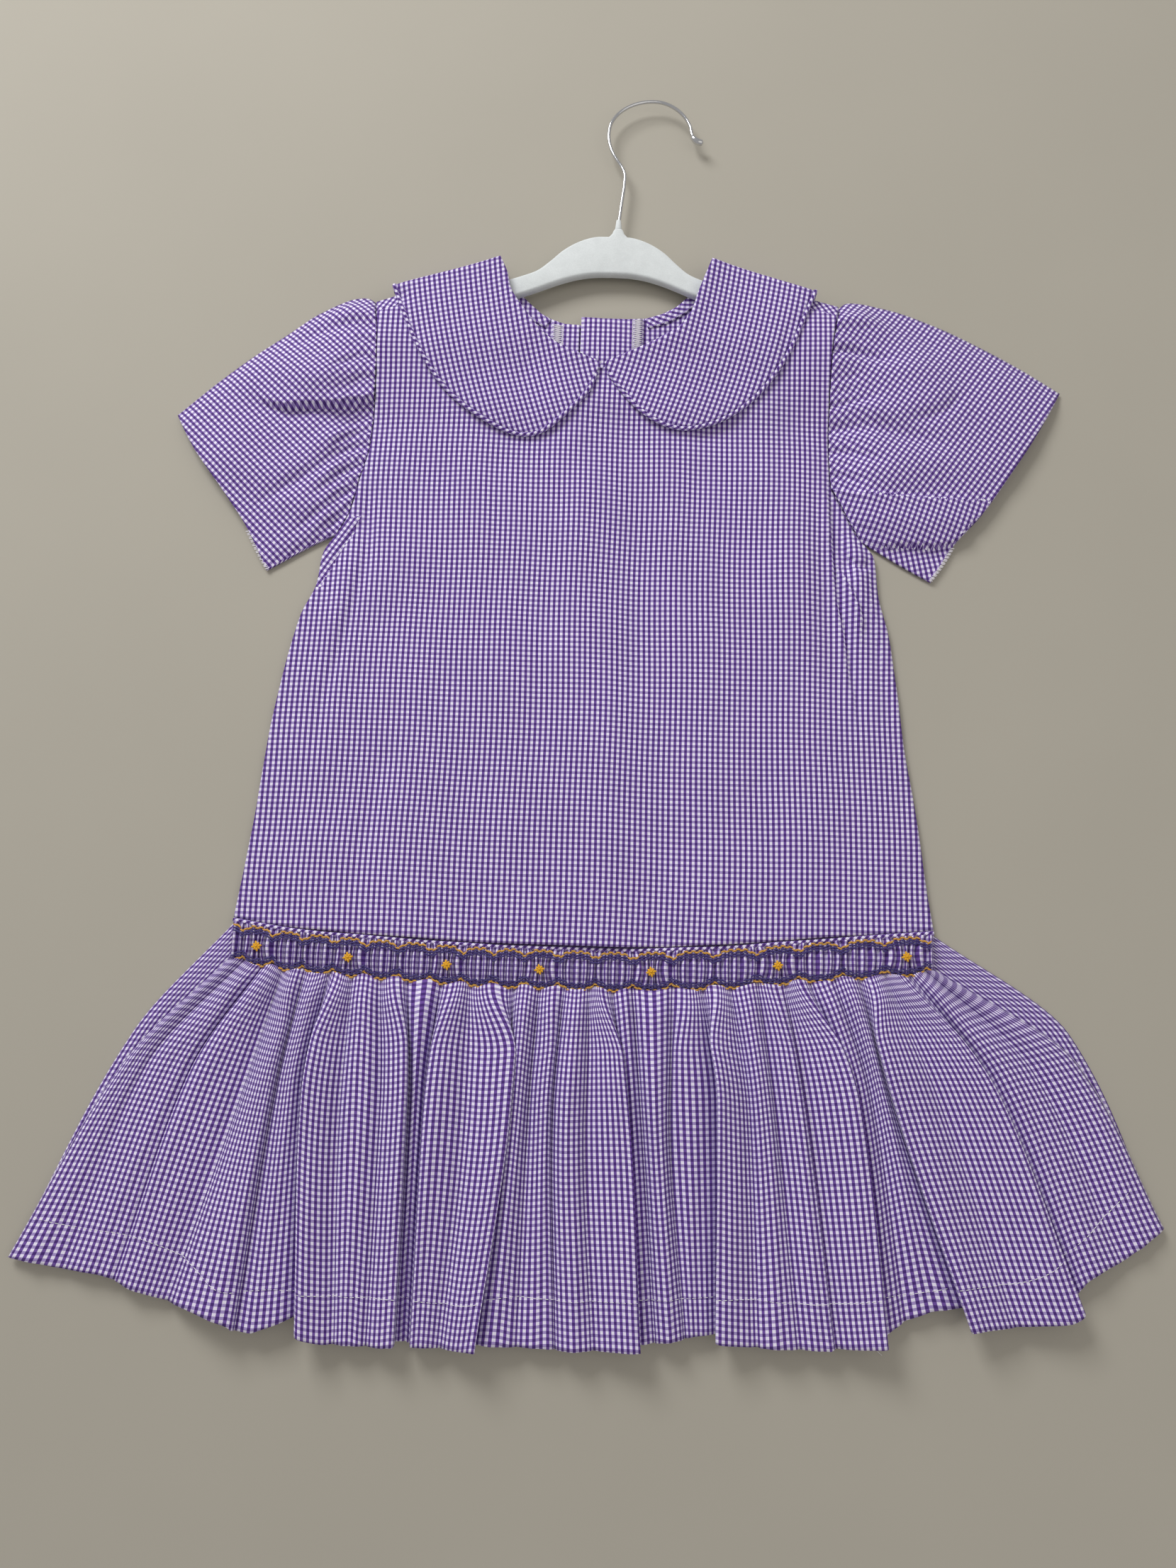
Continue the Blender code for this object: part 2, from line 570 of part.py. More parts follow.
def waist_piping():
    """Covered cord in the dropped waist seam."""
    xs = np.linspace(WAIST[0][0] + BAND_END, WAIST[-1][0] - BAND_END, WAIST_PIPING_STEPS)
    low = FLAT_LEVEL - WALL + PIPING_RADIUS + WAIST_PIPING_CLEAR
    return cord("waist_piping", [(x, float(ease(WAIST, x)), low) for x in xs], PIPING_RADIUS, BIAS)


def cell_centres():
    """Centres of the smocked cells along the band, with whether each holds a flowerette."""
    cells = []
    for a, b in zip(FLOWERS, FLOWERS[1:]):
        pitch = (b - a) / (CELLS_BETWEEN + 1)
        cells += [(a + k * pitch, k == 0) for k in range(CELLS_BETWEEN + 1)]
    return cells + [(FLOWERS[-1], True)]


def cell_edges():
    """Edges of the smocked cells, from the band's left end to its right end."""
    centres = [x for x, flower in cell_centres()]
    inner = [(a + b) / 2 for a, b in zip(centres, centres[1:])]
    return [2 * centres[0] - inner[0]] + inner + [2 * centres[-1] - inner[-1]]


def scallop(x):
    """How far the lower wave of the smocking dips at a place: deepest under each cell's middle."""
    edges = cell_edges()
    i = int(np.clip(np.searchsorted(edges, x) - 1, 0, len(edges) - 2))
    share = np.clip((x - edges[i]) / (edges[i + 1] - edges[i]), 0, 1)
    return SCALLOP * (1 - math.cos(2 * math.pi * share)) / 2


def band_top(x):
    """Upper edge of the smocked band."""
    return float(ease(WAIST, x)) - BAND_TOP_DROP


def band_low(x):
    """Lower edge of the smocked band, where the folds open."""
    return float(ease(WAIST, x)) - BAND_TOP_DROP - BAND_DEPTH + SCALLOP - scallop(x)


def smocked_band():
    """Top of the front skirt, drawn into fine pleats and held in a row of round cells."""
    edges, centres = cell_edges(), cell_centres()
    columns = []
    for (centre, flower), a, b in zip(centres, edges, edges[1:]):
        for p in range(2 * PLEATS_PER_CELL):
            columns.append((a + (b - a) * p / (2 * PLEATS_PER_CELL), centre, b - a, flower, p % 2))
    columns.append((edges[-1], centres[-1][0], edges[-1] - edges[-2], True, 0))
    left_end, right_end = WAIST[0][0] + BAND_END, WAIST[-1][0] - BAND_END
    left_xs = np.linspace(left_end, edges[0], BAND_END_PLEATS + 1)[:-1]
    right_xs = np.linspace(edges[-1], right_end, BAND_END_PLEATS + 1)[1:]
    head = [(x, x, END_CELL, False, k % 2) for k, x in enumerate(left_xs)]
    tail = [(x, x, END_CELL, False, (k + 1) % 2) for k, x in enumerate(right_xs)]
    columns = head + columns + tail
    outer = np.zeros((len(BAND_PROFILE), len(columns), 3))
    inner = np.zeros((2, len(columns), 3))
    for j, (x, centre, width, flower, crest) in enumerate(columns):
        for i, height in enumerate(BAND_PROFILE):
            share = i / (len(BAND_PROFILE) - 1)
            middle = math.sin(math.pi * share)
            pull = (FLOWER_PULL if flower else CELL_PULL) * middle
            off = x - centre
            edge_fade = max(0.0, 1 - (2 * abs(off) / width) ** 4)
            shifted = x + pull * off * edge_fade
            raised = PLEAT_HELD + (PLEAT_HEIGHT - PLEAT_HELD) * middle if crest else 0.0
            y = band_low(x) + share * (band_top(x) - band_low(x))
            outer[i, j] = (shifted, y, BAND_LOW + WALL + BAND_ROUND * height + raised)
        inner[0, j] = (x, band_low(x), BAND_LOW)
        inner[1, j] = (x, band_top(x), BAND_LOW)
    return relief("smocked_band", outer, inner, CLOTH)


def hem_line(x):
    """Hem of the front at a place across it."""
    return float(np.interp(x, *zip(*HEM)))


def skirt_line(xs, t):
    """Place across the skirt at a share of its depth, from the x at each station."""
    return float(ease(list(zip(SKIRT_STATIONS, xs)), t))


def skirt_front():
    """Front skirt: gathered folds under the band that open towards the hem."""
    count = len(SKIRT_FOLDS)
    lefts = [row[:3] for row in SKIRT_FOLDS] + [SKIRT_RIGHT_EDGE]
    columns = []
    for i, row in enumerate(SKIRT_FOLDS):
        high, lean = row[3:6], row[6]
        for k in range(FOLD_STEPS + (i == count - 1)):
            columns.append((i, k / FOLD_STEPS, high, lean))
    grid = np.zeros((len(SKIRT_ROWS), len(columns), 3))
    for j, (i, phase, high, lean) in enumerate(columns):
        bulge = math.sin(math.pi * phase) if phase < 1 else 0.0
        rise = bulge ** FOLD_ROUND
        xs = [a + phase * (b - a) for a, b in zip(lefts[i], lefts[i + 1])]
        heights = list(zip((0.0, SEAM_RUN, *SKIRT_STATIONS[1:]), (SEAM_HEIGHT, *high)))
        top_y = band_low(xs[0]) - 3 * GAP
        hem_y = hem_line(xs[2])
        for r, t in enumerate(SKIRT_ROWS):
            x = skirt_line(xs, t)
            width = skirt_line(lefts[i + 1], t) - skirt_line(lefts[i], t)
            leaned = x + lean * width * bulge * step(0.0, LEAN_RUN, t)
            tall = float(ease(heights, t)) * rise
            grid[r, j] = (leaned, top_y + t * (hem_y - top_y), FLAT_LEVEL + FOLD_CLEAR + tall)
    return sheet("skirt_front", grid[::-1], CLOTH)


def skirt_back():
    """Back skirt, flat on the floor under the front and just inside its outline."""
    rows = len(SKIRT_ROWS)
    plan = np.zeros((rows, SKIRT_BACK_COLUMNS, 3))
    left_edge = [x + SKIRT_BACK_INSET for x in SKIRT_FOLDS[0][:3]]
    right_edge = [x - SKIRT_BACK_INSET for x in SKIRT_RIGHT_EDGE]
    for j, share in enumerate(np.linspace(0, 1, SKIRT_BACK_COLUMNS)):
        xs = [a + share * (b - a) for a, b in zip(left_edge, right_edge)]
        top_y = float(ease(WAIST, xs[0])) - GAP
        hem_y = hem_line(xs[2]) + SKIRT_BACK_SHORT
        for i, t in enumerate(SKIRT_ROWS):
            plan[rows - 1 - i, j] = (skirt_line(xs, t), top_y + t * (hem_y - top_y), 0.0)
    return sheet("skirt_back", plan, CLOTH, side=1.0)


def armhole(edge, outward, low):
    """Points just clear of the bodice's own side edge, at its height, from shoulder tip to underarm."""
    part = edge[edge[:, 1] > low][::-1]
    foot = np.array([[np.interp(low, edge[:, 1], edge[:, k]) for k in range(3)]])
    line = np.concatenate([part, foot])
    run = np.concatenate([[0.0], np.cumsum(np.linalg.norm(np.diff(line[:, :2], axis=0), axis=1))])
    t = np.linspace(0, run[-1], SLEEVE_COLUMNS)
    even = np.stack([np.interp(t, run, line[:, k]) for k in range(3)], axis=1)
    return np.column_stack([inset(even[:, :2], outward * ARMHOLE_GAP), even[:, 2]])


def sleeve(start, upper, lower, cuff, fold, drop_side):
    """Short puff sleeve: rings of an open flattened tube, gathered into the armhole, with a straight cuff."""
    rows, cols = SLEEVE_ROWS, SLEEVE_COLUMNS
    first = path([tuple(start[0, :2])] + upper[1:], rows)
    last = path([tuple(start[-1, :2])] + lower[1:], rows)
    plan = coons(start[:, :2], path(cuff, cols), first, last)
    u = np.linspace(0, 1, cols)[None, :]
    s = np.linspace(0, 1, rows)[:, None]
    dome = 1 - np.abs(2 * u - 1) ** SLEEVE_ROUND
    puff = ease(SLEEVE_PUFF, s)
    gathers = GATHER_HEIGHT * np.cos(2 * np.pi * SLEEVE_GATHERS * u) * (1 - step(*GATHER_RUN, s))
    fold_y = np.interp(plan[..., 0], *zip(*sorted(map(tuple, path(fold, SLEEVE_FOLD_STEPS)))))
    beyond = np.clip((fold_y - plan[..., 1]) / SLEEVE_FOLD_RUN, -1, 1)
    drop = SLEEVE_FOLD_DROP * (1 + beyond) / 2 * drop_side(plan[..., 0])
    base = lift(plan[..., 1]) * (1 - step(0.0, SLEEVE_LIFT_RUN, s))
    body = base + SLEEVE_EDGE + np.maximum(0.0, puff + gathers - drop) * dome
    seam = np.maximum(start[:, 2][None, :] + SEAM_GATHER * gathers * dome, base + SLEEVE_EDGE)
    top = np.dstack([plan, seam + (body - seam) * step(0.0, SLEEVE_SEAM_RUN, s)])
    under = []
    for share in SLEEVE_UNDER:
        i = int(share * (cols - 1))
        rest = share * (cols - 1) - i
        points = plan[:, i] * (1 - rest) + plan[:, i + 1] * rest
        under.append(np.column_stack([points, base[:, i]]))
    ring = np.concatenate([top, np.stack(under, axis=1)], axis=1)
    for edge in (0, cols - 1):
        ring[:, edge, 2] = base[:, edge] + SLEEVE_EDGE / 2
    return ring


def hanger():
    """Flocked hanger body from its plan outline, with rounded edges, its ferrule and its wire hook."""
    half = [(row[0], row[1]) for row in HANGER_HALF]
    low = [(row[0], row[2]) for row in HANGER_HALF[::-1]]
    neck_dx = NECK_X - HANGER_CENTRE
    neck = [(neck_dx + NECK_FOOT[0], NECK_FOOT[1]), (neck_dx + NECK_HALF, NECK_TOP)]
    neck_left = [(neck_dx - NECK_HALF, NECK_TOP), (neck_dx - NECK_FOOT[0], NECK_FOOT[1])]
    right = [p for p in half if p[0] > neck[0][0]] + low
    left = [(-dx, y) for dx, y in right[::-1] if dx > 0]
    outline = neck_left[:1] + neck[::-1] + right + left + neck_left[1:]
    data = bpy.data.curves.new("hanger_body", "CURVE")
    data.dimensions = "2D"
    data.fill_mode = "BOTH"
    data.extrude = (HANGER_THICK / 2 - HANGER_EDGE) * MM
    data.bevel_depth = HANGER_EDGE * MM
    data.bevel_resolution = 1
    data.offset = -HANGER_EDGE * MM
    spline = data.splines.new("POLY")
    spline.points.add(len(outline) - 1)
    for point, (dx, y) in zip(spline.points, outline):
        point.co = ((HANGER_CENTRE + dx) * MM, y * MM, 0.0, 1.0)
    spline.use_cyclic_u = True
    middle = HANGER_LOW + HANGER_THICK / 2
    body = place("hanger_body", data, FLOCKED)
    body.location.z = middle * MM
    wide, narrow = FERRULE_RADII
    tall = FERRULE_TOP - NECK_TOP - GAP
    bpy.ops.mesh.primitive_cone_add(vertices=16, radius1=wide * MM, radius2=narrow * MM, depth=tall * MM)
    ferrule = bpy.context.active_object
    ferrule.name = "hook_ferrule"
    for group in list(ferrule.users_collection):
        group.objects.unlink(ferrule)
    COLLECTION.objects.link(ferrule)
    ferrule.parent = ROOT
    ferrule.data.materials.append(FLOCKED)
    ferrule.rotation_euler.x = -math.pi / 2
    ferrule.location = (NECK_X * MM, (NECK_TOP + GAP + FERRULE_TOP) / 2 * MM, middle * MM)
    wire = path(HOOK_PATH, HOOK_STEPS)
    points = [(x, y, middle) for x, y in wire]
    swell = [1.0] * len(points)
    ball = HOOK_RADIUS * HOOK_TIP_SWELL
    for angle in HOOK_TIP_ANGLES:
        across = math.radians(angle)
        points.append((HOOK_TIP[0] + ball * math.cos(across), HOOK_TIP[1], middle))
        swell.append(HOOK_TIP_SWELL * math.sin(across))
    return cord("hanger_hook", points, HOOK_RADIUS, WIRE, swell)


def facing(name, span, neck, height):
    """Turned-back centre facing inside the back neck."""
    grid = np.zeros((FACING_STEPS, FACING_STEPS, 3))
    for j, x in enumerate(np.linspace(span[0], span[1], FACING_STEPS)):
        top = float(np.interp(x, *zip(*neck))) - FACING_DROP
        for i, y in enumerate(np.linspace(FACING_LOW, top, FACING_STEPS)):
            grid[i, j] = (x, y, height(x, y, FACING_REACH) + GAP)
    return sheet(name, grid, CLOTH, wall=FACING_WALL, side=1.0)


def build():
    """Every piece of the dress and its hanger."""
    front, face = bodice_front()
    left_half = bodice_back_left()
    right_half = bodice_back_right()
    skirt_back()
    smocked_band()
    skirt_front()
    waist_piping()
    hanger()
    on_front = surface_of(front)
    collar("left", LEFT_COLLAR_NECK, LEFT_COLLAR_RIM, on_front)
    collar("right", RIGHT_COLLAR_NECK, RIGHT_COLLAR_RIM, on_front)
    facing("facing_left", FACING_LEFT, BACK_LEFT_NECK, surface_of(left_half))
    facing("facing_right", FACING_RIGHT, BACK_RIGHT_NECK, surface_of(right_half))
    left_hole = armhole(face[:, 0], -1.0, LEFT_SLEEVE_LOWER[0][1])
    left = sleeve(left_hole, LEFT_SLEEVE_UPPER, LEFT_SLEEVE_LOWER, LEFT_SLEEVE_CUFF, LEFT_SLEEVE_FOLD,
                  lambda x: step(*LEFT_FOLD_FADE, x))
    sheet("sleeve_left", left[:, ::-1], CLOTH, ring=True)
    right_hole = armhole(face[:, -1], 1.0, RIGHT_SLEEVE_LOWER[0][1])
    right = sleeve(right_hole, RIGHT_SLEEVE_UPPER, RIGHT_SLEEVE_LOWER, RIGHT_SLEEVE_CUFF, RIGHT_SLEEVE_FOLD,
                   lambda x: np.ones_like(x))
    sheet("sleeve_right", right, CLOTH, ring=True)


for old in list(bpy.data.objects):
    bpy.data.objects.remove(old)
COLLECTION = bpy.data.collections.new("smocked_dress")
bpy.context.scene.collection.children.link(COLLECTION)
ROOT = bpy.data.objects.new("dress_root", None)
COLLECTION.objects.link(ROOT)
CLOTH = material("gingham_cotton", GINGHAM, 0.85)
BIAS = material("bias_gingham_piping", BIAS_GINGHAM, 0.85)
FLOCKED = material("flocked_plastic", FLOCK, 0.9)
WIRE = material("chromed_steel", STEEL, 0.2, 1.0)
build()
ROOT.location = (-OUTLINE_CENTRE[0] * MM, -OUTLINE_CENTRE[1] * MM, 0.0)
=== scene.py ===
"""A girl's smocked dress on a child's hanger, laid flat: cloth, piping, smocking, stitches and hanger.

Tables are in millimetres in the dress's own plan: +X to the right, +Y from hem to collar, +Z up from
the floor.
"""

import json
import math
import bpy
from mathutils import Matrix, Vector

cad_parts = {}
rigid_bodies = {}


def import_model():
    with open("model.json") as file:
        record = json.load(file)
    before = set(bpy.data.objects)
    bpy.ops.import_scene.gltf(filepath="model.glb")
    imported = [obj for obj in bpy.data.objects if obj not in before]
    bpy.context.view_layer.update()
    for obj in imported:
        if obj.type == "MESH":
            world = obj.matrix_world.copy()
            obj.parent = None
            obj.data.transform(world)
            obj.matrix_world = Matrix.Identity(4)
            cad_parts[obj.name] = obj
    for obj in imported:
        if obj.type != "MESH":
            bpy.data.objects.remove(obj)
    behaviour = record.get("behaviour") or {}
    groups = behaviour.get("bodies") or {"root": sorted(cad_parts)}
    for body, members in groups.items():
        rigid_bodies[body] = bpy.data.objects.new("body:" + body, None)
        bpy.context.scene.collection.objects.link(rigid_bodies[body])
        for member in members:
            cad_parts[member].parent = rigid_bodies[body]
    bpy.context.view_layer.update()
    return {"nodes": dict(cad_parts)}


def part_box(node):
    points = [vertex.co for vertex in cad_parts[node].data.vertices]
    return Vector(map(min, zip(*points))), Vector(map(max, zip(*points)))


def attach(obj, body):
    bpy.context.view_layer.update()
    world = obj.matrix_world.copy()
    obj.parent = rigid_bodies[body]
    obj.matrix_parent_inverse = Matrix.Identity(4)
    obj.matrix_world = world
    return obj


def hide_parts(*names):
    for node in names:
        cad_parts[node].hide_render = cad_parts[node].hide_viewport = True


bl_info = {
    "name": "Smocked Dress",
    "version": (1, 0, 0),
    "blender": (4, 5, 0),
    "location": "3D View > Sidebar > Dress",
    "description": "Builds a smocked gingham dress on a child's hanger, laid on a floor",
    "category": "Add Mesh",
}

import bpy
import numpy as np
from mathutils import Vector
from mathutils.bvhtree import BVHTree

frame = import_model()

MM = 0.001
CENTRE = np.array([7.4, 0.6, 0.0])
WALL = 1.2
PIPING_RADIUS = round((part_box("waist_piping")[1].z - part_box("waist_piping")[0].z) / 2 / MM, 2)

# Side seams with the armholes above them, rows of (y, x), and the waist seam, rows of (x, y)
LEFT_SIDE = [(-163, -199), (-129, -195), (-99, -192), (-50, -188), (-8, -182), (21, -176), (42, -168),
             (60, -166), (78, -156), (90, -151), (110, -147), (134, -142), (170, -140.6), (200, -141),
             (228, -144)]
RIGHT_SIDE = [(-157, 198), (-129, 194), (-85, 189), (-50, 183.5), (-14, 180), (18, 176), (45, 170),
              (68, 168), (82, 158), (100, 149), (116, 142), (140, 140.6), (172, 141), (200, 142),
              (234, 147)]
WAIST = [(-199, -162), (-161, -167), (-103, -170), (-44, -172), (15, -172), (73, -169), (132, -163),
         (198, -156.5)]
SEAM_DROP = 1.6

# Shoulders and neck of the front, and neck of each back half: rows of (x, y)
FRONT_TOP = [(-144, 228.5), (-105, 242), (-67, 255), (-61.5, 239), (-53, 221), (-38, 204.5), (-27, 197.5),
             (-14, 191.5), (0, 186.5), (16, 194.5), (34, 203.5), (46, 209), (55, 221), (59.5, 238),
             (67, 258), (105, 246), (147, 234)]
LAP_LEFT = -14.5
LAP_RIGHT = 8.0
BACK_LEFT_NECK = [(-67, 254), (-51, 237), (-40, 226.5), (-32, 222), (-25, 219.7), (-14, 219),
                  (LAP_RIGHT, 219)]
BACK_RIGHT_NECK = [(LAP_LEFT, 224), (0, 223.3), (19, 224.2), (27, 225.5), (36, 228.7), (45, 234), (67, 257)]

# Creases of the front: line in plan, depth, width, and +1 or -1 for the side of the line that drops,
# 0 for both
FRONT_CREASES = [
    ([(-143, 106), (-139, 60), (-147, 18), (-157, -26), (-164, -85)], 1.5, 4.0, 0),
    ([(-145, 84), (-155, 66), (-166, 40)], 2.2, 5.0, 1),
    ([(140, 124), (142, 82), (143, 62), (146, 33), (151, 0), (158, -48)], 5.2, 4.5, 1),
    ([(161, 66), (168, 24), (173, -2), (183, -66)], 1.6, 4.0, -1),
    ([(146, 86), (150, 69), (156, 57), (160, 60)], 3.4, 2.4, 0),
    ([(151, 66), (161, 62), (169, 69)], 3.0, 2.1, 0),
    ([(145, 64), (153, 48), (159, 30), (160, 6)], 4.0, 3.0, 1),
    ([(-6, 140), (-22, 100), (-30, 30)], 0.8, 9.0, 0),
    ([(-66, 128), (-60, 70), (-68, -10)], 0.7, 8.0, 0),
    ([(62, 128), (56, 60), (66, -40)], 0.7, 8.0, 0),
    ([(-118, -60), (-128, -110), (-134, -158)], 0.9, 6.0, 0),
    ([(96, -70), (110, -120), (116, -158)], 0.9, 6.0, 0),
]
# Soft swellings of the front: x, y, half width, half length and height
FRONT_BUMPS = [(124, 62, 17, 60, 3.6), (157, 50, 10, 30, 5.0), (-152, 30, 8, 40, 1.8),
               (-30, 90, 26, 70, 1.2), (60, 20, 22, 80, 1.2), (-95, -40, 24, 70, 1.0),
               (20, -60, 26, 60, 0.9)]
# Height below which no crease presses the front
FRONT_LOWEST = 1.95
# Other cloth shows in a strip below each shoulder, and past a line at the left underarm that is given as its
# (x, y, slope) and between two heights. Its grain is turned by these degrees
YOKE_TURN = 28.0
YOKE_DEPTH = 9.0
YOKE_FROM = 100
UNDERARM_TURN = 32.0
UNDERARM_SPAN = (38, 84)
UNDERARM_LINE = (-145, 84, 0.477)

# Collar halves, centre front to shoulder, then the back part of the left one, shoulder to centre back
COLLAR_NECK = {
    "left": [(-1, 189.5), (-14, 194.2), (-26, 199.4), (-36, 206), (-50, 222), (-59, 236), (-62, 248),
             (-66.5, 258)],
    "right": [(1, 189.5), (6, 192.5), (16, 197), (34, 206), (46, 212.5), (54, 224), (58, 237), (66.5, 261)],
}
COLLAR_RIM = {
    "left": [(-0.8, 182.5), (-6, 170), (-14, 160), (-24, 150), (-34, 142.5), (-44, 139.6), (-56, 141),
             (-68, 146), (-80, 153), (-96, 166), (-110, 184), (-120, 202), (-128, 221), (-134, 236.3)],
    "right": [(1.0, 182.5), (12, 168), (22, 158), (34, 150), (50, 146), (66, 149), (84, 158), (100, 173),
              (112, 190), (120, 206), (126, 222), (133.2, 240.6)],
}
COLLAR_BACK_NECK = [(-67, 249), (-54, 236), (-38, 222), (-18, 216)]
COLLAR_BACK_RIM = [(-127, 218), (-110, 194), (-82, 176), (-50, 171), (-25, 174)]
COLLAR_EDGE = 2 * PIPING_RADIUS + 0.3
COLLAR_FOLD_OUT = 2.6
COLLAR_GRAIN = {"left": 13.0, "right": -14.0}
COLLAR_GRAIN_BEND = 0.0022
# Rows of the collar's grid along its front, round the shoulder and along the back, and points across
COLLAR_ROWS = 90
COLLAR_FOLD_ROWS = 11
COLLAR_BACK_ROWS = 40
COLLAR_COLUMNS = 40

# Smocking: centre of each flowerette, and half heights of the stitched waves at a cell's middle and edge
FLOWERS = [-183, -131.4, -76, -24, 38.4, 109, 181]
CELLS_BETWEEN = 2
PLEATS_PER_CELL = 5
BAND_ENDS = (-198.5, 197.5)
BAND_DEPTH = 20.5
BAND_LOW = 2.0
BAND_ROUND = 1.2
PLEAT_CLOTH = 6.35
PLEAT_HELD = 1.3
PLEAT_HEIGHT = 2.3
SCALLOP = 2.0
BAND_MIDDLE = 12.3
GOLD_WAVE = (10.4, 6.6)
NAVY_WAVE = (8.0, 4.3)
NAVY_APART = 1.5
WAVE_STITCH = 2.1

# Hem line of the front and the skirt's gathered folds, left to right. A fold's row gives its left valley's x
# under the band, a third of the way down and at the hem, its height there, and its lean to the right
HEM = [(-302, -345.5), (-277, -349), (-236, -355.5), (-216, -363), (-198, -371.5), (-183, -376),
       (-167, -377.5), (-152, -372), (-143, -368), (-139, -376), (-126, -381.5), (-103, -382),
       (-87, -379.5), (-84, -381), (-54, -382), (-50, -379.5), (0, -380.5), (32, -379), (36, -377),
       (78, -370.5), (84, -373), (100, -376), (132, -376), (160, -372), (164, -369), (176, -361),
       (191, -355.5), (208, -353.5), (217, -364.5), (248, -358.5), (265, -351), (270, -343.5),
       (286, -332.5), (317, -310.5)]
SKIRT_STATIONS = (0.0, 0.35, 1.0)
SKIRT_FOLDS = [
    # top, mid, hem, high_top, high_mid, high_hem, lean
    (-200, -251, -302, 4.0, 3.0, 2.2, 0.0),
    (-190, -238, -272, 7.0, 4.0, 3.0, 0.1),
    (-179, -214, -243, 7.0, 5.0, 3.5, -0.1),
    (-168, -183, -214, 8.0, 8.5, 8.5, 0.15),
    (-155, -166, -176, 8.0, 7.0, 6.0, 0.0),
    (-142, -149, -143, 8.5, 10.5, 9.5, -0.2),
    (-129, -130, -124, 8.0, 7.5, 6.0, 0.0),
    (-113, -108, -107, 8.5, 9.5, 8.0, 0.2),
    (-98, -93, -92, 8.0, 5.0, 1.6, 0.0),
    (-79, -84, -84, 9.0, 10.0, 6.5, -0.15),
    (-63, -62, -68, 9.0, 10.5, 10.5, 0.3),
    (-38, -40, -52, 9.5, 8.5, 6.0, 0.0),
    (-24, -27, -28, 8.5, 8.0, 5.0, 0.1),
    (-10, -14, -8, 9.0, 9.5, 7.5, 0.0),
    (4, 4, 12, 8.5, 9.5, 9.5, 0.3),
    (17, 24, 33, 7.5, 5.0, 4.0, 0.0),
    (28, 34, 44, 8.5, 9.0, 6.5, 0.0),
    (51, 50, 60, 8.0, 6.5, 4.0, -0.1),
    (67, 78, 79, 8.5, 10.5, 9.0, -0.3),
    (83, 93, 98, 8.0, 8.0, 6.5, 0.0),
    (98, 107, 120, 8.0, 8.0, 6.5, 0.1),
    (113, 124, 139, 8.0, 9.5, 9.5, 0.3),
    (127, 148, 161, 8.0, 5.5, 3.5, 0.0),
    (141, 160, 176, 8.0, 5.5, 3.0, 0.0),
    (155, 170, 209, 8.5, 9.5, 9.0, -0.2),
    (169, 196, 234, 8.0, 8.5, 7.5, 0.2),
    (183, 226, 268, 7.0, 6.0, 4.0, -0.1),
    (192, 250, 293, 4.5, 3.5, 2.5, 0.0),
]
SKIRT_RIGHT_EDGE = (199, 274, 317)
# Folds whose left valley stays deep to the hem, and how far the others' valleys fill at the three stations
DEEP_VALLEYS = {0: 1.0, 3: 0.6, 5: 1.0, 8: 0.8, 9: 1.0, 11: 1.0, 15: 1.0, 18: 1.0, 22: 0.7, 24: 1.0,
                26: 0.8, 28: 1.0}
VALLEY_FILL = (0.05, 0.5, 0.8)
FLAT_LEVEL = 3.0
FOLD_ROUND = 0.62
FOLD_STEPS = 14
SEAM_HEIGHT = 2.6
SEAM_RUN = 0.09
LEAN_RUN = 0.2
LEAN_MORE = 2.0
FOLD_TALLER = 1.35

# Rows and columns of the grids that the cloth is drawn on
FRONT_GRID = (190, 190)
BACK_GRID = (120, 70)
SLEEVE_GRID = (84, 96)
SLEEVE_UNDER_COLUMNS = 40
BAND_GRID = (26, 1100)
SKIRT_ROWS = 96
SKIRT_BACK_GRID = (50, 90)

# Sleeves in plan: upper fold edge and lower fold edge from armhole to cuff, and the cuff, rows of (x, y)
SLEEVES = {
    "left": {
        "upper": [(-144.5, 230), (-150, 233.5), (-157, 234), (-180, 224), (-200, 208), (-220, 192),
                  (-240, 174), (-264, 150)],
        "lower": [(-160, 73), (-174, 65), (-188, 56), (-199, 49)],
        "cuff": [(-264, 150), (-250, 126), (-232, 102), (-214, 77), (-199, 49)],
        "grain": 45.0,
    },
    "right": {
        "upper": [(147.6, 235.5), (152, 239.5), (162, 241), (176, 239), (208, 228), (240, 212), (264, 198),
                  (286.5, 183)],
        "lower": [(163, 79), (175, 70), (190, 61), (202, 54.4)],
        "cuff": [(286.5, 183), (268, 150), (250, 122), (235, 100), (217, 79), (202, 54.4)],
        "grain": -34.0,
    },
}
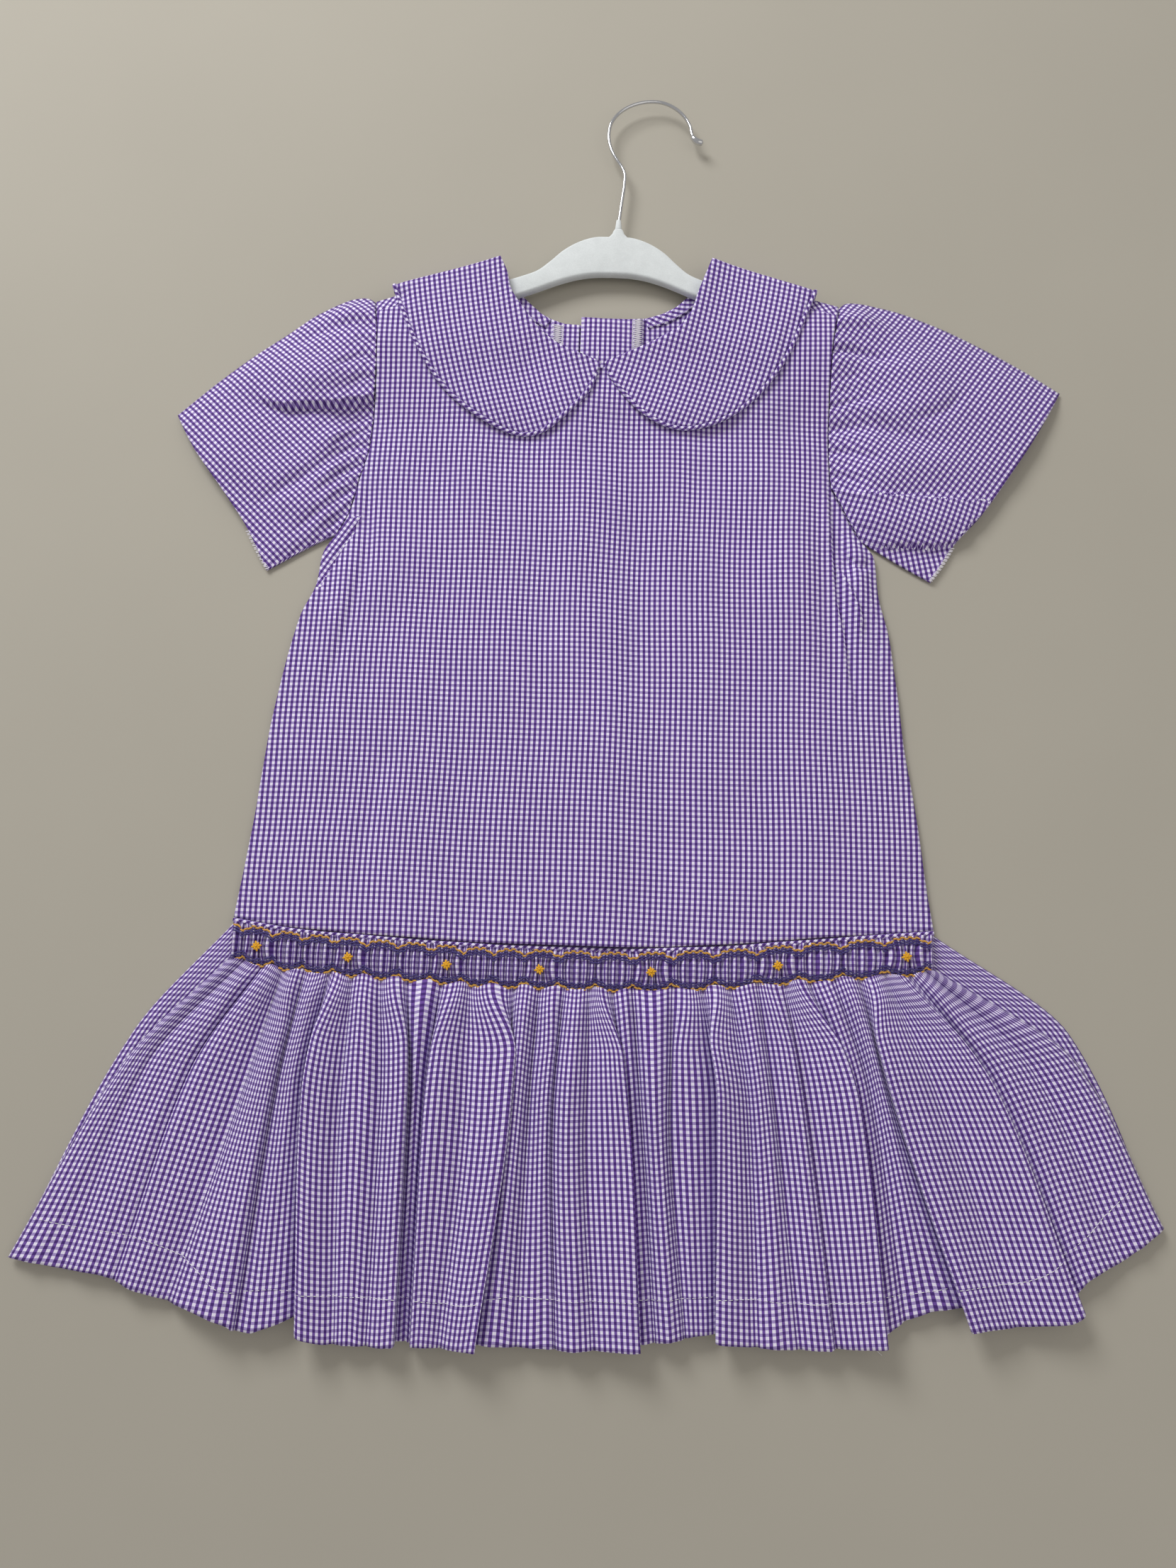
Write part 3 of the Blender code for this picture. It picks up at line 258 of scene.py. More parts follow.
# Creases and soft swellings of the sleeves, as for the front
SLEEVE_CREASES = {
    "left": [
        ([(-139, 164), (-150, 161), (-164, 157), (-182, 156), (-198, 155), (-210, 159), (-218, 168)],
         6.5, 8.0, 1),
        ([(-141, 209), (-154, 211), (-170, 210), (-186, 203), (-202, 192)], 2.2, 4.5, 0),
        ([(-141, 197), (-148, 201), (-158, 201)], 1.9, 2.2, 0),
        ([(-141, 186), (-149, 190), (-158, 186), (-171, 180)], 2.1, 2.6, 0),
        ([(-140, 175), (-147, 176), (-158, 170)], 1.6, 2.2, 0),
        ([(-139, 154), (-147, 152), (-158, 146)], 1.6, 2.2, 0),
        ([(-139, 144), (-148, 142), (-158, 136), (-168, 124)], 2.0, 2.6, 0),
        ([(-141, 132), (-148, 133), (-159, 127), (-171, 116), (-194, 100), (-215, 85)], 2.4, 4.2, 0),
        ([(-143, 121), (-153, 117), (-165, 105), (-177, 93)], 2.0, 3.0, 0),
        ([(-143, 109), (-151, 103), (-161, 94), (-176, 81), (-190, 68)], 1.9, 3.0, 0),
        ([(-147, 95), (-154, 88), (-162, 80), (-172, 71)], 1.8, 2.4, 0),
    ],
    "right": [
        ([(140, 114), (157, 110), (173, 108), (190, 107), (207, 107), (231, 108)], 3.2, 6.0, 1),
        ([(146, 84), (169, 76), (185, 77), (203, 77), (216, 80), (232, 98)], 4.0, 14.0, -1),
        ([(165, 235), (181, 228), (200, 218), (220, 200)], 1.9, 7.0, 0),
        ([(143, 216), (158, 218), (174, 218)], 1.5, 2.6, 0),
        ([(141, 203), (152, 203), (163, 201), (175, 199), (189, 199)], 2.3, 2.6, 0),
        ([(140, 182), (153, 185), (164, 187)], 1.2, 2.4, 0),
        ([(140, 167), (149, 168), (158, 170), (173, 173)], 2.5, 2.2, 0),
        ([(140, 151), (155, 153), (173, 152), (190, 147), (208, 143), (226, 146)], 2.2, 5.0, 0),
        ([(140, 138), (149, 138), (162, 133), (179, 126)], 1.9, 3.2, 0),
        ([(140, 123), (152, 119), (169, 115)], 1.4, 3.0, 0),
        ([(223, 176), (214, 166), (202, 160), (184, 157)], 1.6, 3.6, 0),
        ([(150, 96), (160, 86), (172, 82)], 1.3, 2.6, 0),
    ],
}
SLEEVE_BUMPS = {
    "left": [(-178, 176, 34, 15, 4.2), (-158, 222, 16, 9, 2.0), (-196, 112, 34, 13, 2.0),
             (-176, 92, 22, 9, 1.8), (-228, 120, 22, 30, 1.0)],
    "right": [(188, 192, 22, 9, 2.6), (160, 225, 18, 8, 2.0), (206, 176, 16, 10, 2.2),
              (186, 165, 30, 8, 1.4), (196, 128, 34, 12, 2.0), (192, 93, 32, 11, 2.6),
              (252, 168, 26, 26, 1.2)],
}
# Right sleeve: grain below its underarm seam and of its back layer, turned from the bodice's, with the seam
# and the fold that shows the back layer, rows of x and of y, and the x where the back layer starts
FLAP_TURN = 20.0
FLAP_SEAM = ([140, 157, 173, 207, 231], [114, 110, 108, 107, 108])
BACK_TURN = -12.0
BACK_FOLD = ([146, 169, 185, 203, 216, 232], [84, 76, 77, 77, 80, 98])
BACK_FROM = 168
SLEEVE_EDGE = 3.0
GATHERS = 17
GATHER_HEIGHT = 0.5

# Hanger: half outline from its centre line, rows of (dx, y of the top edge, y of the bottom edge)
HANGER_X = 4.5
HANGER_HALF = [(0, 279.5, 252.3), (12, 279, 251.8), (22, 275.5, 250), (32, 269, 246.8), (40, 261, 243.5),
               (48, 254, 240), (58, 249.5, 236), (90, 240, 226), (120, 231, 217), (125, 227, 220)]
HANGER_MIDDLE = 7.4
HANGER_THICK = 6.0
NECK_X = 7.0
HOOK_PATH = [(7.2, 291), (8.7, 307), (10, 320), (10, 327), (8.4, 331.5), (5.2, 336.7), (1.5, 343.5),
             (-0.6, 350.5), (-1.1, 357.5), (0, 364.5), (3, 370.3), (8, 375.6), (15.5, 380), (25, 382.3),
             (34, 381.6), (42, 377.6), (48.2, 371.3), (51.8, 364.5), (53.4, 357.5), (54.8, 354.6),
             (57.4, 352.8), (60.6, 352.3)]
HOOK_RADIUS = 1.1
# Plastic tip of the hook: its middle and half length in steps along the wire, and how much it swells
HOOK_STEPS = 220
TIP_MIDDLE = 213
TIP_HALF = 6.4
TIP_SWELL = 0.9

# Hem stitching of the front, left to right, rows of (x, y)
HEM_STITCH = [(-290, -325), (-264, -329), (-242, -331), (-224, -335), (-200, -346), (-187, -355.6),
              (-154, -355.6), (-141, -357), (-90, -358), (-53, -359), (-40, -356), (0, -356), (33, -355),
              (81, -352), (135, -353), (160, -350), (205, -343), (248, -335), (270, -318), (300, -290)]


def linear(hex_colour):
    """sRGB hex colour as linear red, green, blue."""
    shares = [int(hex_colour[i:i + 2], 16) / 255 for i in (1, 3, 5)]
    return tuple(c / 12.92 if c <= 0.04045 else ((c + 0.055) / 1.055) ** 2.4 for c in shares)


class DressSizes(bpy.types.PropertyGroup):
    """Sizes of the cloth, thread and cord."""

    check: bpy.props.FloatProperty(
        name="Check repeat", description="One white and one dyed bar of the gingham, in mm", default=3.175)
    cloth: bpy.props.FloatProperty(
        name="Cloth", description="Thickness that the cloth is drawn with, in mm", default=0.5)
    collar: bpy.props.FloatProperty(
        name="Collar", description="Thickness of the two-layer collar, in mm", default=1.2)
    piping: bpy.props.FloatProperty(
        name="Piping radius", description="Radius of the covered cord, in mm", default=PIPING_RADIUS)
    floss: bpy.props.FloatProperty(
        name="Floss radius", description="Radius of the embroidery stitches, in mm", default=0.52)
    thread: bpy.props.FloatProperty(
        name="Thread radius", description="Radius of the sewing thread, in mm", default=0.2)
    stitch: bpy.props.FloatProperty(
        name="Hem stitch", description="From one hem stitch to the next, in mm", default=3.1)


class DressColours(bpy.types.PropertyGroup):
    """Colours of the dress, hanger and floor."""

    white: bpy.props.FloatVectorProperty(
        name="White bars", description="Undyed yarn", subtype="COLOR", default=linear("#F1ECFF"))
    warp: bpy.props.FloatVectorProperty(
        name="Lengthwise bars", description="Dyed warp over undyed weft", subtype="COLOR",
        default=linear("#7352A6"))
    weft: bpy.props.FloatVectorProperty(
        name="Crosswise bars", description="Dyed weft over undyed warp", subtype="COLOR",
        default=linear("#A895CE"))
    cross: bpy.props.FloatVectorProperty(
        name="Crossings", description="Dyed warp and weft", subtype="COLOR", default=linear("#492A78"))
    gold: bpy.props.FloatVectorProperty(
        name="Gold floss", description="Outer waves", subtype="COLOR", default=linear("#D9A13C"))
    yellow: bpy.props.FloatVectorProperty(
        name="Yellow floss", description="Flowerettes", subtype="COLOR", default=linear("#F2B40E"))
    navy: bpy.props.FloatVectorProperty(
        name="Violet floss", description="Inner waves", subtype="COLOR", default=linear("#3A2A78"))
    thread: bpy.props.FloatVectorProperty(
        name="Sewing thread", description="Hem and overlock", subtype="COLOR", default=linear("#F1EDF5"))
    flock: bpy.props.FloatVectorProperty(
        name="Flock", description="Hanger", subtype="COLOR", default=linear("#DDE2E3"))
    floor: bpy.props.FloatVectorProperty(
        name="Floor", description="Plain pale floor", subtype="COLOR", default=linear("#AFAA9E"))


def sizes():
    """The sizes set for this scene."""
    return bpy.context.scene.dress_sizes


def colours():
    """The colours set for this scene."""
    return bpy.context.scene.dress_colours


def hermite(knots, values, slopes, t):
    """Cubic pieces through the values at the knots with the given slopes."""
    place = np.clip(np.searchsorted(knots, t, side="right") - 1, 0, len(knots) - 2)
    width = knots[place + 1] - knots[place]
    s = (t - knots[place]) / width
    a, b = values[place], values[place + 1]
    ma, mb = slopes[place] * width, slopes[place + 1] * width
    rising = 3 * s**2 - 2 * s**3
    return (1 - rising) * a + (s**3 - 2 * s**2 + s) * ma + rising * b + (s**3 - s**2) * mb


def ease(rows, t):
    """Value at t on a smooth line through rows of (t, value) that never overshoots them."""
    table = np.array(sorted(rows), float)
    knots, values = table[:, 0], table[:, 1]
    t = np.clip(np.asarray(t, float), knots[0], knots[-1])
    steps = np.diff(values) / np.diff(knots)
    slopes = np.zeros(len(knots))
    slopes[0], slopes[-1] = steps[0], steps[-1]
    for i in range(1, len(knots) - 1):
        if steps[i - 1] * steps[i] > 0:
            slopes[i] = 2 / (1 / steps[i - 1] + 1 / steps[i])
    return hermite(knots, values, slopes, t)


def path(points, count):
    """Evenly spaced points along a smooth curve through the given points."""
    points = np.array(points, float)
    knots = np.concatenate([[0.0], np.cumsum(np.linalg.norm(np.diff(points, axis=0), axis=1))])
    slopes = np.gradient(points, knots, axis=0)
    t = np.linspace(0.0, knots[-1], count)
    return np.stack([hermite(knots, points[:, k], slopes[:, k], t) for k in range(points.shape[1])], axis=1)


def inset(points, distance):
    """Plan curve moved to its left-hand side by a distance."""
    run = np.gradient(points, axis=0)
    run /= np.linalg.norm(run, axis=1)[:, None]
    return points + distance * np.stack([-run[:, 1], run[:, 0]], axis=1)


def step(low, high, t):
    """Smooth step from 0 at low to 1 at high."""
    s = np.clip((np.asarray(t, float) - low) / (high - low), 0.0, 1.0)
    return s * s * (3 - 2 * s)


def coons(start, end, first, last):
    """Plan patch: rows run from the start curve to the end curve, between the first and last edges."""
    rows, cols = len(first), len(start)
    v = np.linspace(0, 1, rows)[:, None, None]
    u = np.linspace(0, 1, cols)[None, :, None]
    across = (1 - v) * start[None] + v * end[None]
    along = (1 - u) * first[:, None] + u * last[:, None]
    corners = (1 - v) * ((1 - u) * start[0] + u * start[-1]) + v * ((1 - u) * end[0] + u * end[-1])
    return across + along - corners


def blur(z, passes):
    """Grid of heights softened with its neighbours."""
    for _ in range(passes):
        edge = np.pad(z, 1, mode="edge")
        z = (edge[:-2, 1:-1] + edge[2:, 1:-1] + edge[1:-1, :-2] + edge[1:-1, 2:] + 4 * z) / 8
    return z


def turned(plan, degrees):
    """Plan points turned about the origin."""
    c, s = math.cos(math.radians(degrees)), math.sin(math.radians(degrees))
    return np.stack([plan[..., 0] * c - plan[..., 1] * s, plan[..., 0] * s + plan[..., 1] * c], axis=-1)


def ripple(x, y):
    """Slight unevenness of laid cloth, in heights of about a third of a millimetre."""
    waves = ((61, 17, 0.0), (-23, 83, 1.3), (37, -41, 2.9), (19, 27, 4.1), (-90, 40, 5.2))
    total = 0.0
    for a, b, phase in waves:
        long = math.hypot(a, b)
        total = total + 0.14 * np.sin(2 * math.pi * (x * a + y * b) / long**2 + phase)
    return total


def creased(plan, z, creases, bumps, hold):
    """Heights with soft swellings, troughs, and ledges that drop on one side."""
    x, y = plan[..., 0], plan[..., 1]
    for cx, cy, wide, long, high in bumps:
        z = z + hold * high * np.exp(-(((x - cx) / wide) ** 2) - ((y - cy) / long) ** 2)
    for line, depth, width, side in creases:
        line = path(line, 24)
        best = np.full(x.shape, 1e9)
        signed, share = np.zeros(x.shape), np.zeros(x.shape)
        for k, (a, b) in enumerate(zip(line, line[1:])):
            run = b - a
            t = np.clip(((x - a[0]) * run[0] + (y - a[1]) * run[1]) / np.dot(run, run), 0, 1)
            dx, dy = x - a[0] - t * run[0], y - a[1] - t * run[1]
            away = np.hypot(dx, dy)
            near = away < best
            best = np.where(near, away, best)
            signed = np.where(near, np.sign(run[0] * dy - run[1] * dx), signed)
            share = np.where(near, (k + t) / (len(line) - 1), share)
        fade = step(-0.02, 0.05, share) * step(1.0, 0.6, share) * hold
        if side == 0:
            z = z - depth * np.exp(-((best / width) ** 2)) * fade
            continue
        low = signed * side > 0
        reach = step(4.0 * width, 1.5 * width, best)
        drop = -0.72 * depth * step(0.0, 0.9, best) * np.exp(-best / width)
        rise = 0.35 * depth * np.exp(-((best / width) ** 2))
        z = z + np.where(low, drop, rise) * fade * reach
    return z


def solid_top(*nodes):
    """Lookup of the top of the frame's solids at plan places in millimetres."""
    trees = []
    for node in nodes:
        data = frame["nodes"][node].data
        trees.append(BVHTree.FromPolygons([v.co.copy() for v in data.vertices],
                                          [tuple(p.vertices) for p in data.polygons]))

    def heights(x, y):
        found = np.full(np.shape(x), np.nan)
        for place in np.ndindex(np.shape(x)):
            px, py = (x[place] - CENTRE[0]) * MM, (y[place] - CENTRE[1]) * MM
            for tree in trees:
                hit = tree.ray_cast(Vector((px, py, 1.0)), Vector((0, 0, -1)))[0]
                if hit is None:
                    hit = tree.find_nearest(Vector((px, py, 0.02)))[0]
                found[place] = np.nanmax([found[place], hit.z / MM])
        return found

    return heights


def piece_top(*pieces):
    """Lookup of the top of finished pieces at one plan place in millimetres, or None."""
    trees = []
    for piece in pieces:
        trees.append(BVHTree.FromPolygons([v.co.copy() for v in piece.data.vertices],
                                          [tuple(p.vertices) for p in piece.data.polygons]))

    def height(x, y):
        best = None
        for tree in trees:
            above = Vector(((x - CENTRE[0]) * MM, (y - CENTRE[1]) * MM, 1.0))
            hit = tree.ray_cast(above, Vector((0, 0, -1)))[0]
            if hit is not None:
                best = hit.z / MM if best is None else max(best, hit.z / MM)
        return best

    return height


def add_node(tree, kind, sockets=None, **settings):
    """Adds a shader node, sets it up, and sets or links its input sockets."""
    made = tree.nodes.new(kind)
    for name, value in settings.items():
        setattr(made, name, value)
    for socket, value in (sockets or {}).items():
        if isinstance(value, bpy.types.NodeSocket):
            tree.links.new(value, made.inputs[socket])
        else:
            made.inputs[socket].default_value = value
    return made


def start_material(name):
    """Empty node material and its Principled shader."""
    made = bpy.data.materials.get(name)
    if made is not None:
        return made, None, None
    made = bpy.data.materials.new(name)
    made.use_nodes = True
    tree = made.node_tree
    return made, tree, tree.nodes["Principled BSDF"]


def gingham(name="yarn_dyed_gingham_cotton"):
    """Yarn-dyed cotton gingham, plain weave: matt, each check a white, two half and one full dyed square."""
    made, tree, shader = start_material(name)
    if tree is None:
        return made
    c = colours()
    repeat = sizes().check * MM
    threads = 8 / repeat
    cloth = add_node(tree, "ShaderNodeUVMap", uv_map="cloth").outputs["UV"]
    sides = add_node(tree, "ShaderNodeSeparateXYZ", {"Vector": cloth}).outputs
    bars = []
    for axis in ("X", "Y"):
        turns = add_node(tree, "ShaderNodeMath", {0: sides[axis], 1: 1 / repeat}, operation="MULTIPLY")
        fold = add_node(tree, "ShaderNodeMath", {0: turns.outputs[0], 1: 0.5}, operation="PINGPONG")
        bar = add_node(tree, "ShaderNodeMapRange",
                       {"Value": fold.outputs[0], "From Min": 0.21, "From Max": 0.29},
                       interpolation_type="SMOOTHSTEP")
        bars.append(bar.outputs["Result"])
    pale = add_node(tree, "ShaderNodeMix", {0: bars[0], 6: (*c.white, 1), 7: (*c.warp, 1)},
                    data_type="RGBA")
    dark = add_node(tree, "ShaderNodeMix", {0: bars[0], 6: (*c.weft, 1), 7: (*c.cross, 1)},
                    data_type="RGBA")
    checks = add_node(tree, "ShaderNodeMix", {0: bars[1], 6: pale.outputs[2], 7: dark.outputs[2]},
                      data_type="RGBA")
    # Single threads, drawn eight to a repeat where the real cloth has about twelve, to show at this distance
    over = add_node(tree, "ShaderNodeTexChecker", {"Vector": cloth, "Scale": threads}).outputs["Fac"]
    speck = add_node(tree, "ShaderNodeMapRange", {"Value": over, "To Min": 0.93, "To Max": 1.05})
    cloud = add_node(tree, "ShaderNodeTexNoise", {"Vector": cloth, "Scale": 22.0, "Detail": 3.0})
    shade = add_node(tree, "ShaderNodeMapRange",
                     {"Value": cloud.outputs["Fac"], "To Min": 0.93, "To Max": 1.07})
    worn = add_node(tree, "ShaderNodeMath", {0: speck.outputs[0], 1: shade.outputs[0]}, operation="MULTIPLY")
    tint = add_node(tree, "ShaderNodeVectorMath", {0: checks.outputs[2], "Scale": worn.outputs[0]},
                    operation="SCALE")
    tree.links.new(tint.outputs[0], shader.inputs["Base Color"])
    crumple = add_node(tree, "ShaderNodeTexNoise", {"Vector": cloth, "Scale": 95.0, "Detail": 4.0})
    rough = add_node(tree, "ShaderNodeMath", {0: crumple.outputs["Fac"], 1: 2.2}, operation="MULTIPLY")
    total = add_node(tree, "ShaderNodeMath", {0: over, 1: 0.12, 2: rough.outputs[0]},
                     operation="MULTIPLY_ADD")
    bump = add_node(tree, "ShaderNodeBump",
                    {"Height": total.outputs[0], "Strength": 0.5, "Distance": 0.0004})
    tree.links.new(bump.outputs[0], shader.inputs["Normal"])
    shader.inputs["Roughness"].default_value = 0.86
    shader.inputs["Specular IOR Level"].default_value = 0.25
    shader.inputs["Sheen Weight"].default_value = 0.12
    shader.inputs["Sheen Roughness"].default_value = 0.5
    return made


def floss(name, colour, twist=0.9):
    """Stranded cotton or sewing thread: twisted, with a low lustre."""
    made, tree, shader = start_material(name)
    if tree is None:
        return made
    place = add_node(tree, "ShaderNodeTexCoord").outputs["Object"]
    strands = add_node(tree, "ShaderNodeTexWave", {"Vector": place, "Scale": 620.0, "Distortion": 1.5},
                       bands_direction="DIAGONAL")
    shade = add_node(tree, "ShaderNodeMapRange",
                     {"Value": strands.outputs["Fac"], "To Min": 0.8, "To Max": 1.1})
    tint = add_node(tree, "ShaderNodeVectorMath", {0: tuple(colour), "Scale": shade.outputs[0]},
                    operation="SCALE")
    tree.links.new(tint.outputs[0], shader.inputs["Base Color"])
    bump = add_node(tree, "ShaderNodeBump",
                    {"Height": strands.outputs["Fac"], "Strength": twist, "Distance": 0.0001})
    tree.links.new(bump.outputs[0], shader.inputs["Normal"])
    shader.inputs["Roughness"].default_value = 0.6
    shader.inputs["Sheen Weight"].default_value = 0.2
    return made


def flocked():
    """Flocked polystyrene: short upright fibres, quite matt, with a soft bright rim."""
    made, tree, shader = start_material("flocked_polystyrene")
    if tree is None:
        return made
    place = add_node(tree, "ShaderNodeTexCoord").outputs["Object"]
    fibres = add_node(tree, "ShaderNodeTexNoise", {"Vector": place, "Scale": 1400.0, "Detail": 2.0})
    dust = add_node(tree, "ShaderNodeTexNoise", {"Vector": place, "Scale": 160.0, "Detail": 3.0})
    both = add_node(tree, "ShaderNodeMath", {0: fibres.outputs["Fac"], 1: dust.outputs["Fac"]},
                    operation="MULTIPLY")
    shade = add_node(tree, "ShaderNodeMapRange",
                     {"Value": both.outputs[0], "From Min": 0.1, "From Max": 0.4, "To Min": 0.93,
                      "To Max": 1.03})
    tint = add_node(tree, "ShaderNodeVectorMath", {0: tuple(colours().flock), "Scale": shade.outputs[0]},
                    operation="SCALE")
    tree.links.new(tint.outputs[0], shader.inputs["Base Color"])
    bump = add_node(tree, "ShaderNodeBump",
                    {"Height": fibres.outputs["Fac"], "Strength": 0.5, "Distance": 0.0002})
    tree.links.new(bump.outputs[0], shader.inputs["Normal"])
    shader.inputs["Roughness"].default_value = 0.95
    shader.inputs["Sheen Weight"].default_value = 0.5
    shader.inputs["Sheen Roughness"].default_value = 0.4
    return made


def chromed():
    """Drawn steel wire, chromed: bright, with the slight waviness of drawn wire."""
    made, tree, shader = start_material("chromed_steel_wire")
    if tree is None:
        return made
    place = add_node(tree, "ShaderNodeTexCoord").outputs["Object"]
    drawn = add_node(tree, "ShaderNodeTexNoise", {"Vector": place, "Scale": 260.0, "Detail": 2.0})
    bump = add_node(tree, "ShaderNodeBump",
                    {"Height": drawn.outputs["Fac"], "Strength": 0.35, "Distance": 0.0004})
    tree.links.new(bump.outputs[0], shader.inputs["Normal"])
    shader.inputs["Base Color"].default_value = (*linear("#D6D7DA"), 1)
    shader.inputs["Metallic"].default_value = 1.0
    shader.inputs["Roughness"].default_value = 0.14
    return made


def pale_floor():
    """Painted board, matt, with a faint mottle."""
    made, tree, shader = start_material("matt_painted_board")
    if tree is None:
        return made
    place = add_node(tree, "ShaderNodeTexCoord").outputs["Object"]
    mottle = add_node(tree, "ShaderNodeTexNoise", {"Vector": place, "Scale": 6.0, "Detail": 5.0})
    shade = add_node(tree, "ShaderNodeMapRange",
                     {"Value": mottle.outputs["Fac"], "To Min": 0.96, "To Max": 1.04})
    tint = add_node(tree, "ShaderNodeVectorMath", {0: tuple(colours().floor), "Scale": shade.outputs[0]},
                    operation="SCALE")
    tree.links.new(tint.outputs[0], shader.inputs["Base Color"])
    shader.inputs["Roughness"].default_value = 0.8
    return made


def finish_piece(piece, finish, nodes):
    """Gives a piece its material and its place in the frame."""
    piece.data.materials.clear()
    piece.data.materials.append(finish)
    for polygon in piece.data.polygons:
        polygon.use_smooth = True
    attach(piece, "root")
    if nodes:
        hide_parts(*nodes)
    return piece


def corners(grid, around):
    """Values of a grid at the four corners of each of its cells."""
    wide = grid if grid.shape[1] > around else np.concatenate([grid, grid[:, :1]], axis=1)
    low, high = wide[:-1], wide[1:]
    return np.stack([low[:, :around], low[:, 1:around + 1], high[:, 1:around + 1], high[:, :around]], axis=2)


def add_piece(name, co, faces, uv=None):
    """Object at the origin from points in metres, faces, and flat cloth places for their corners."""
    mesh = bpy.data.meshes.new(name)
    mesh.from_pydata(co, [], faces)
    if uv is not None:
        mesh.uv_layers.new(name="cloth").data.foreach_set("uv", uv.reshape(-1))
    piece = bpy.data.objects.new(name, mesh)
    bpy.context.scene.collection.objects.link(piece)
    return piece


def cloth_sheet(name, points, cloth, thick, nodes=(), finish=None, ring=False,
                patches=()):
    """Thin shell of cloth through rows of points of its outer face. Its UV map is the flat cloth's."""
    rows, cols = points.shape[:2]
    around = cols if ring else cols - 1
    index = np.arange(rows * cols).reshape(rows, cols)
    after = np.roll(index, -1, axis=1)
    index, after = index[:, :around], after[:, :around]
    quads = np.stack([index[:-1], after[:-1], after[1:], index[1:]], axis=-1).reshape(-1, 4)
    co = (points - CENTRE).reshape(-1, 3) * MM
    a, b, d = co[quads[:, 0]], co[quads[:, 1]], co[quads[:, 3]]
    normals = np.cross(b - a, d - a)
    upper = a[:, 2] >= np.median(a[:, 2])
    uv = corners(cloth, around)
    for mask, other in patches:
        uv = np.where(mask[:-1, :around, None, None], corners(other, around), uv)
    uv = uv.reshape(-1, 4, 2) * MM
    if normals[upper, 2].sum() < 0:
        quads, uv = quads[:, ::-1], uv[:, ::-1]
    piece = add_piece(name, co.tolist(), quads.tolist(), uv)
    solid = piece.modifiers.new("cloth", "SOLIDIFY")
    solid.thickness = thick * MM
    solid.offset = -1.0
    finish_piece(piece, finish or gingham(), nodes)
    return piece


def tube(name, line, radius, nodes, finish, sides=12, turn=45.0, swell=None):
    """Covered cord along a line in millimetres, its cover's UV map turned to the bias, with closed ends."""
    line = np.asarray(line, float)
    run = np.gradient(line, axis=0)
    run /= np.linalg.norm(run, axis=1)[:, None]
    up = np.array([0.0, 0.0, 1.0])
    rings = []
    for k in range(len(line)):
        up = up - run[k] * np.dot(up, run[k])
        up /= np.linalg.norm(up)
        out = np.cross(run[k], up)
        angles = np.linspace(0, 2 * math.pi, sides + 1)[:-1]
        size = radius * (swell[k] if swell is not None else 1.0)
        rings.append(line[k] + size * (np.cos(angles)[:, None] * out + np.sin(angles)[:, None] * up))
    grid = np.array(rings)
    long = np.concatenate([[0.0], np.cumsum(np.linalg.norm(np.diff(line, axis=0), axis=1))])
    girth = np.linspace(0, 2 * math.pi * radius, sides + 1)
    cloth = turned(np.dstack(np.broadcast_arrays(girth[None, :], long[:, None])), turn)
    count = len(line)
    co = (grid - CENTRE).reshape(-1, 3) * MM
    faces, uv = [], []
    for i in range(count - 1):
        for j in range(sides):
            faces.append((i * sides + j, (i + 1) * sides + j, (i + 1) * sides + (j + 1) % sides,
                          i * sides + (j + 1) % sides))
            uv.append((cloth[i, j], cloth[i + 1, j], cloth[i + 1, j + 1], cloth[i, j + 1]))
    uv = np.array(uv).reshape(-1, 2) * MM
    caps = [list(range(sides)), [(count - 1) * sides + j for j in range(sides)][::-1]]
    normal = np.cross(co[faces[0][1]] - co[faces[0][0]], co[faces[0][3]] - co[faces[0][0]])
    outward = np.dot(normal, co[faces[0][0]] - (line[0] - CENTRE) * MM) > 0
    ends = cloth[[0, -1], :sides].reshape(-1, 2) * MM
    if not outward:
        faces = [face[::-1] for face in faces]
        uv = uv.reshape(-1, 4, 2)[:, ::-1].reshape(-1, 2)
        caps = [cap[::-1] for cap in caps]
    piece = add_piece(name, co.tolist(), faces + caps, np.concatenate([uv, ends]))
    return finish_piece(piece, finish, nodes)


def one_stitch():
    """Points and faces of a small sphere with its poles along X, for one plump stitch."""
    bpy.ops.object.select_all(action="DESELECT")
    bpy.ops.mesh.primitive_uv_sphere_add(segments=6, ring_count=5, radius=1.0)
    made = bpy.context.active_object
    bpy.ops.object.mode_set(mode="EDIT")
    bpy.ops.mesh.select_all(action="SELECT")
    bpy.ops.transform.rotate(value=math.pi / 2, orient_axis="Y", center_override=(0, 0, 0))
    bpy.ops.object.mode_set(mode="OBJECT")
    co = np.array([v.co for v in made.data.vertices])
    faces = [tuple(p.vertices) for p in made.data.polygons]
    bpy.data.objects.remove(made)
    return co, faces


def lay_stitches(name, stitches, radius, finish):
    """One piece of many stitches, each from a start to an end point in millimetres."""
    shape, faces = one_stitch()
    stitches = np.asarray(stitches, float)
    all_co, all_faces = [], []
    for k, (start, end) in enumerate(stitches):
        run = end - start
        long = np.linalg.norm(run)
        run = run / long
        side = np.cross(run, [0, 0, 1.0])
        side /= max(np.linalg.norm(side), 1e-6)
        up = np.cross(side, run)
        co = (start + end) / 2 + shape[:, :1] * run * (long / 2 + 0.3 * radius)
        co = co + shape[:, 1:2] * side * radius + shape[:, 2:3] * up * radius
        all_faces += [tuple(i + k * len(shape) for i in face) for face in faces]
        all_co.append(co)
    piece = add_piece(name, ((np.concatenate(all_co) - CENTRE) * MM).tolist(), all_faces)
    return finish_piece(piece, finish, ())


def line_length(line):
    """Length of the straight runs between the points of a line."""
    return float(np.sum(np.linalg.norm(np.diff(np.asarray(line, float), axis=0), axis=1)))


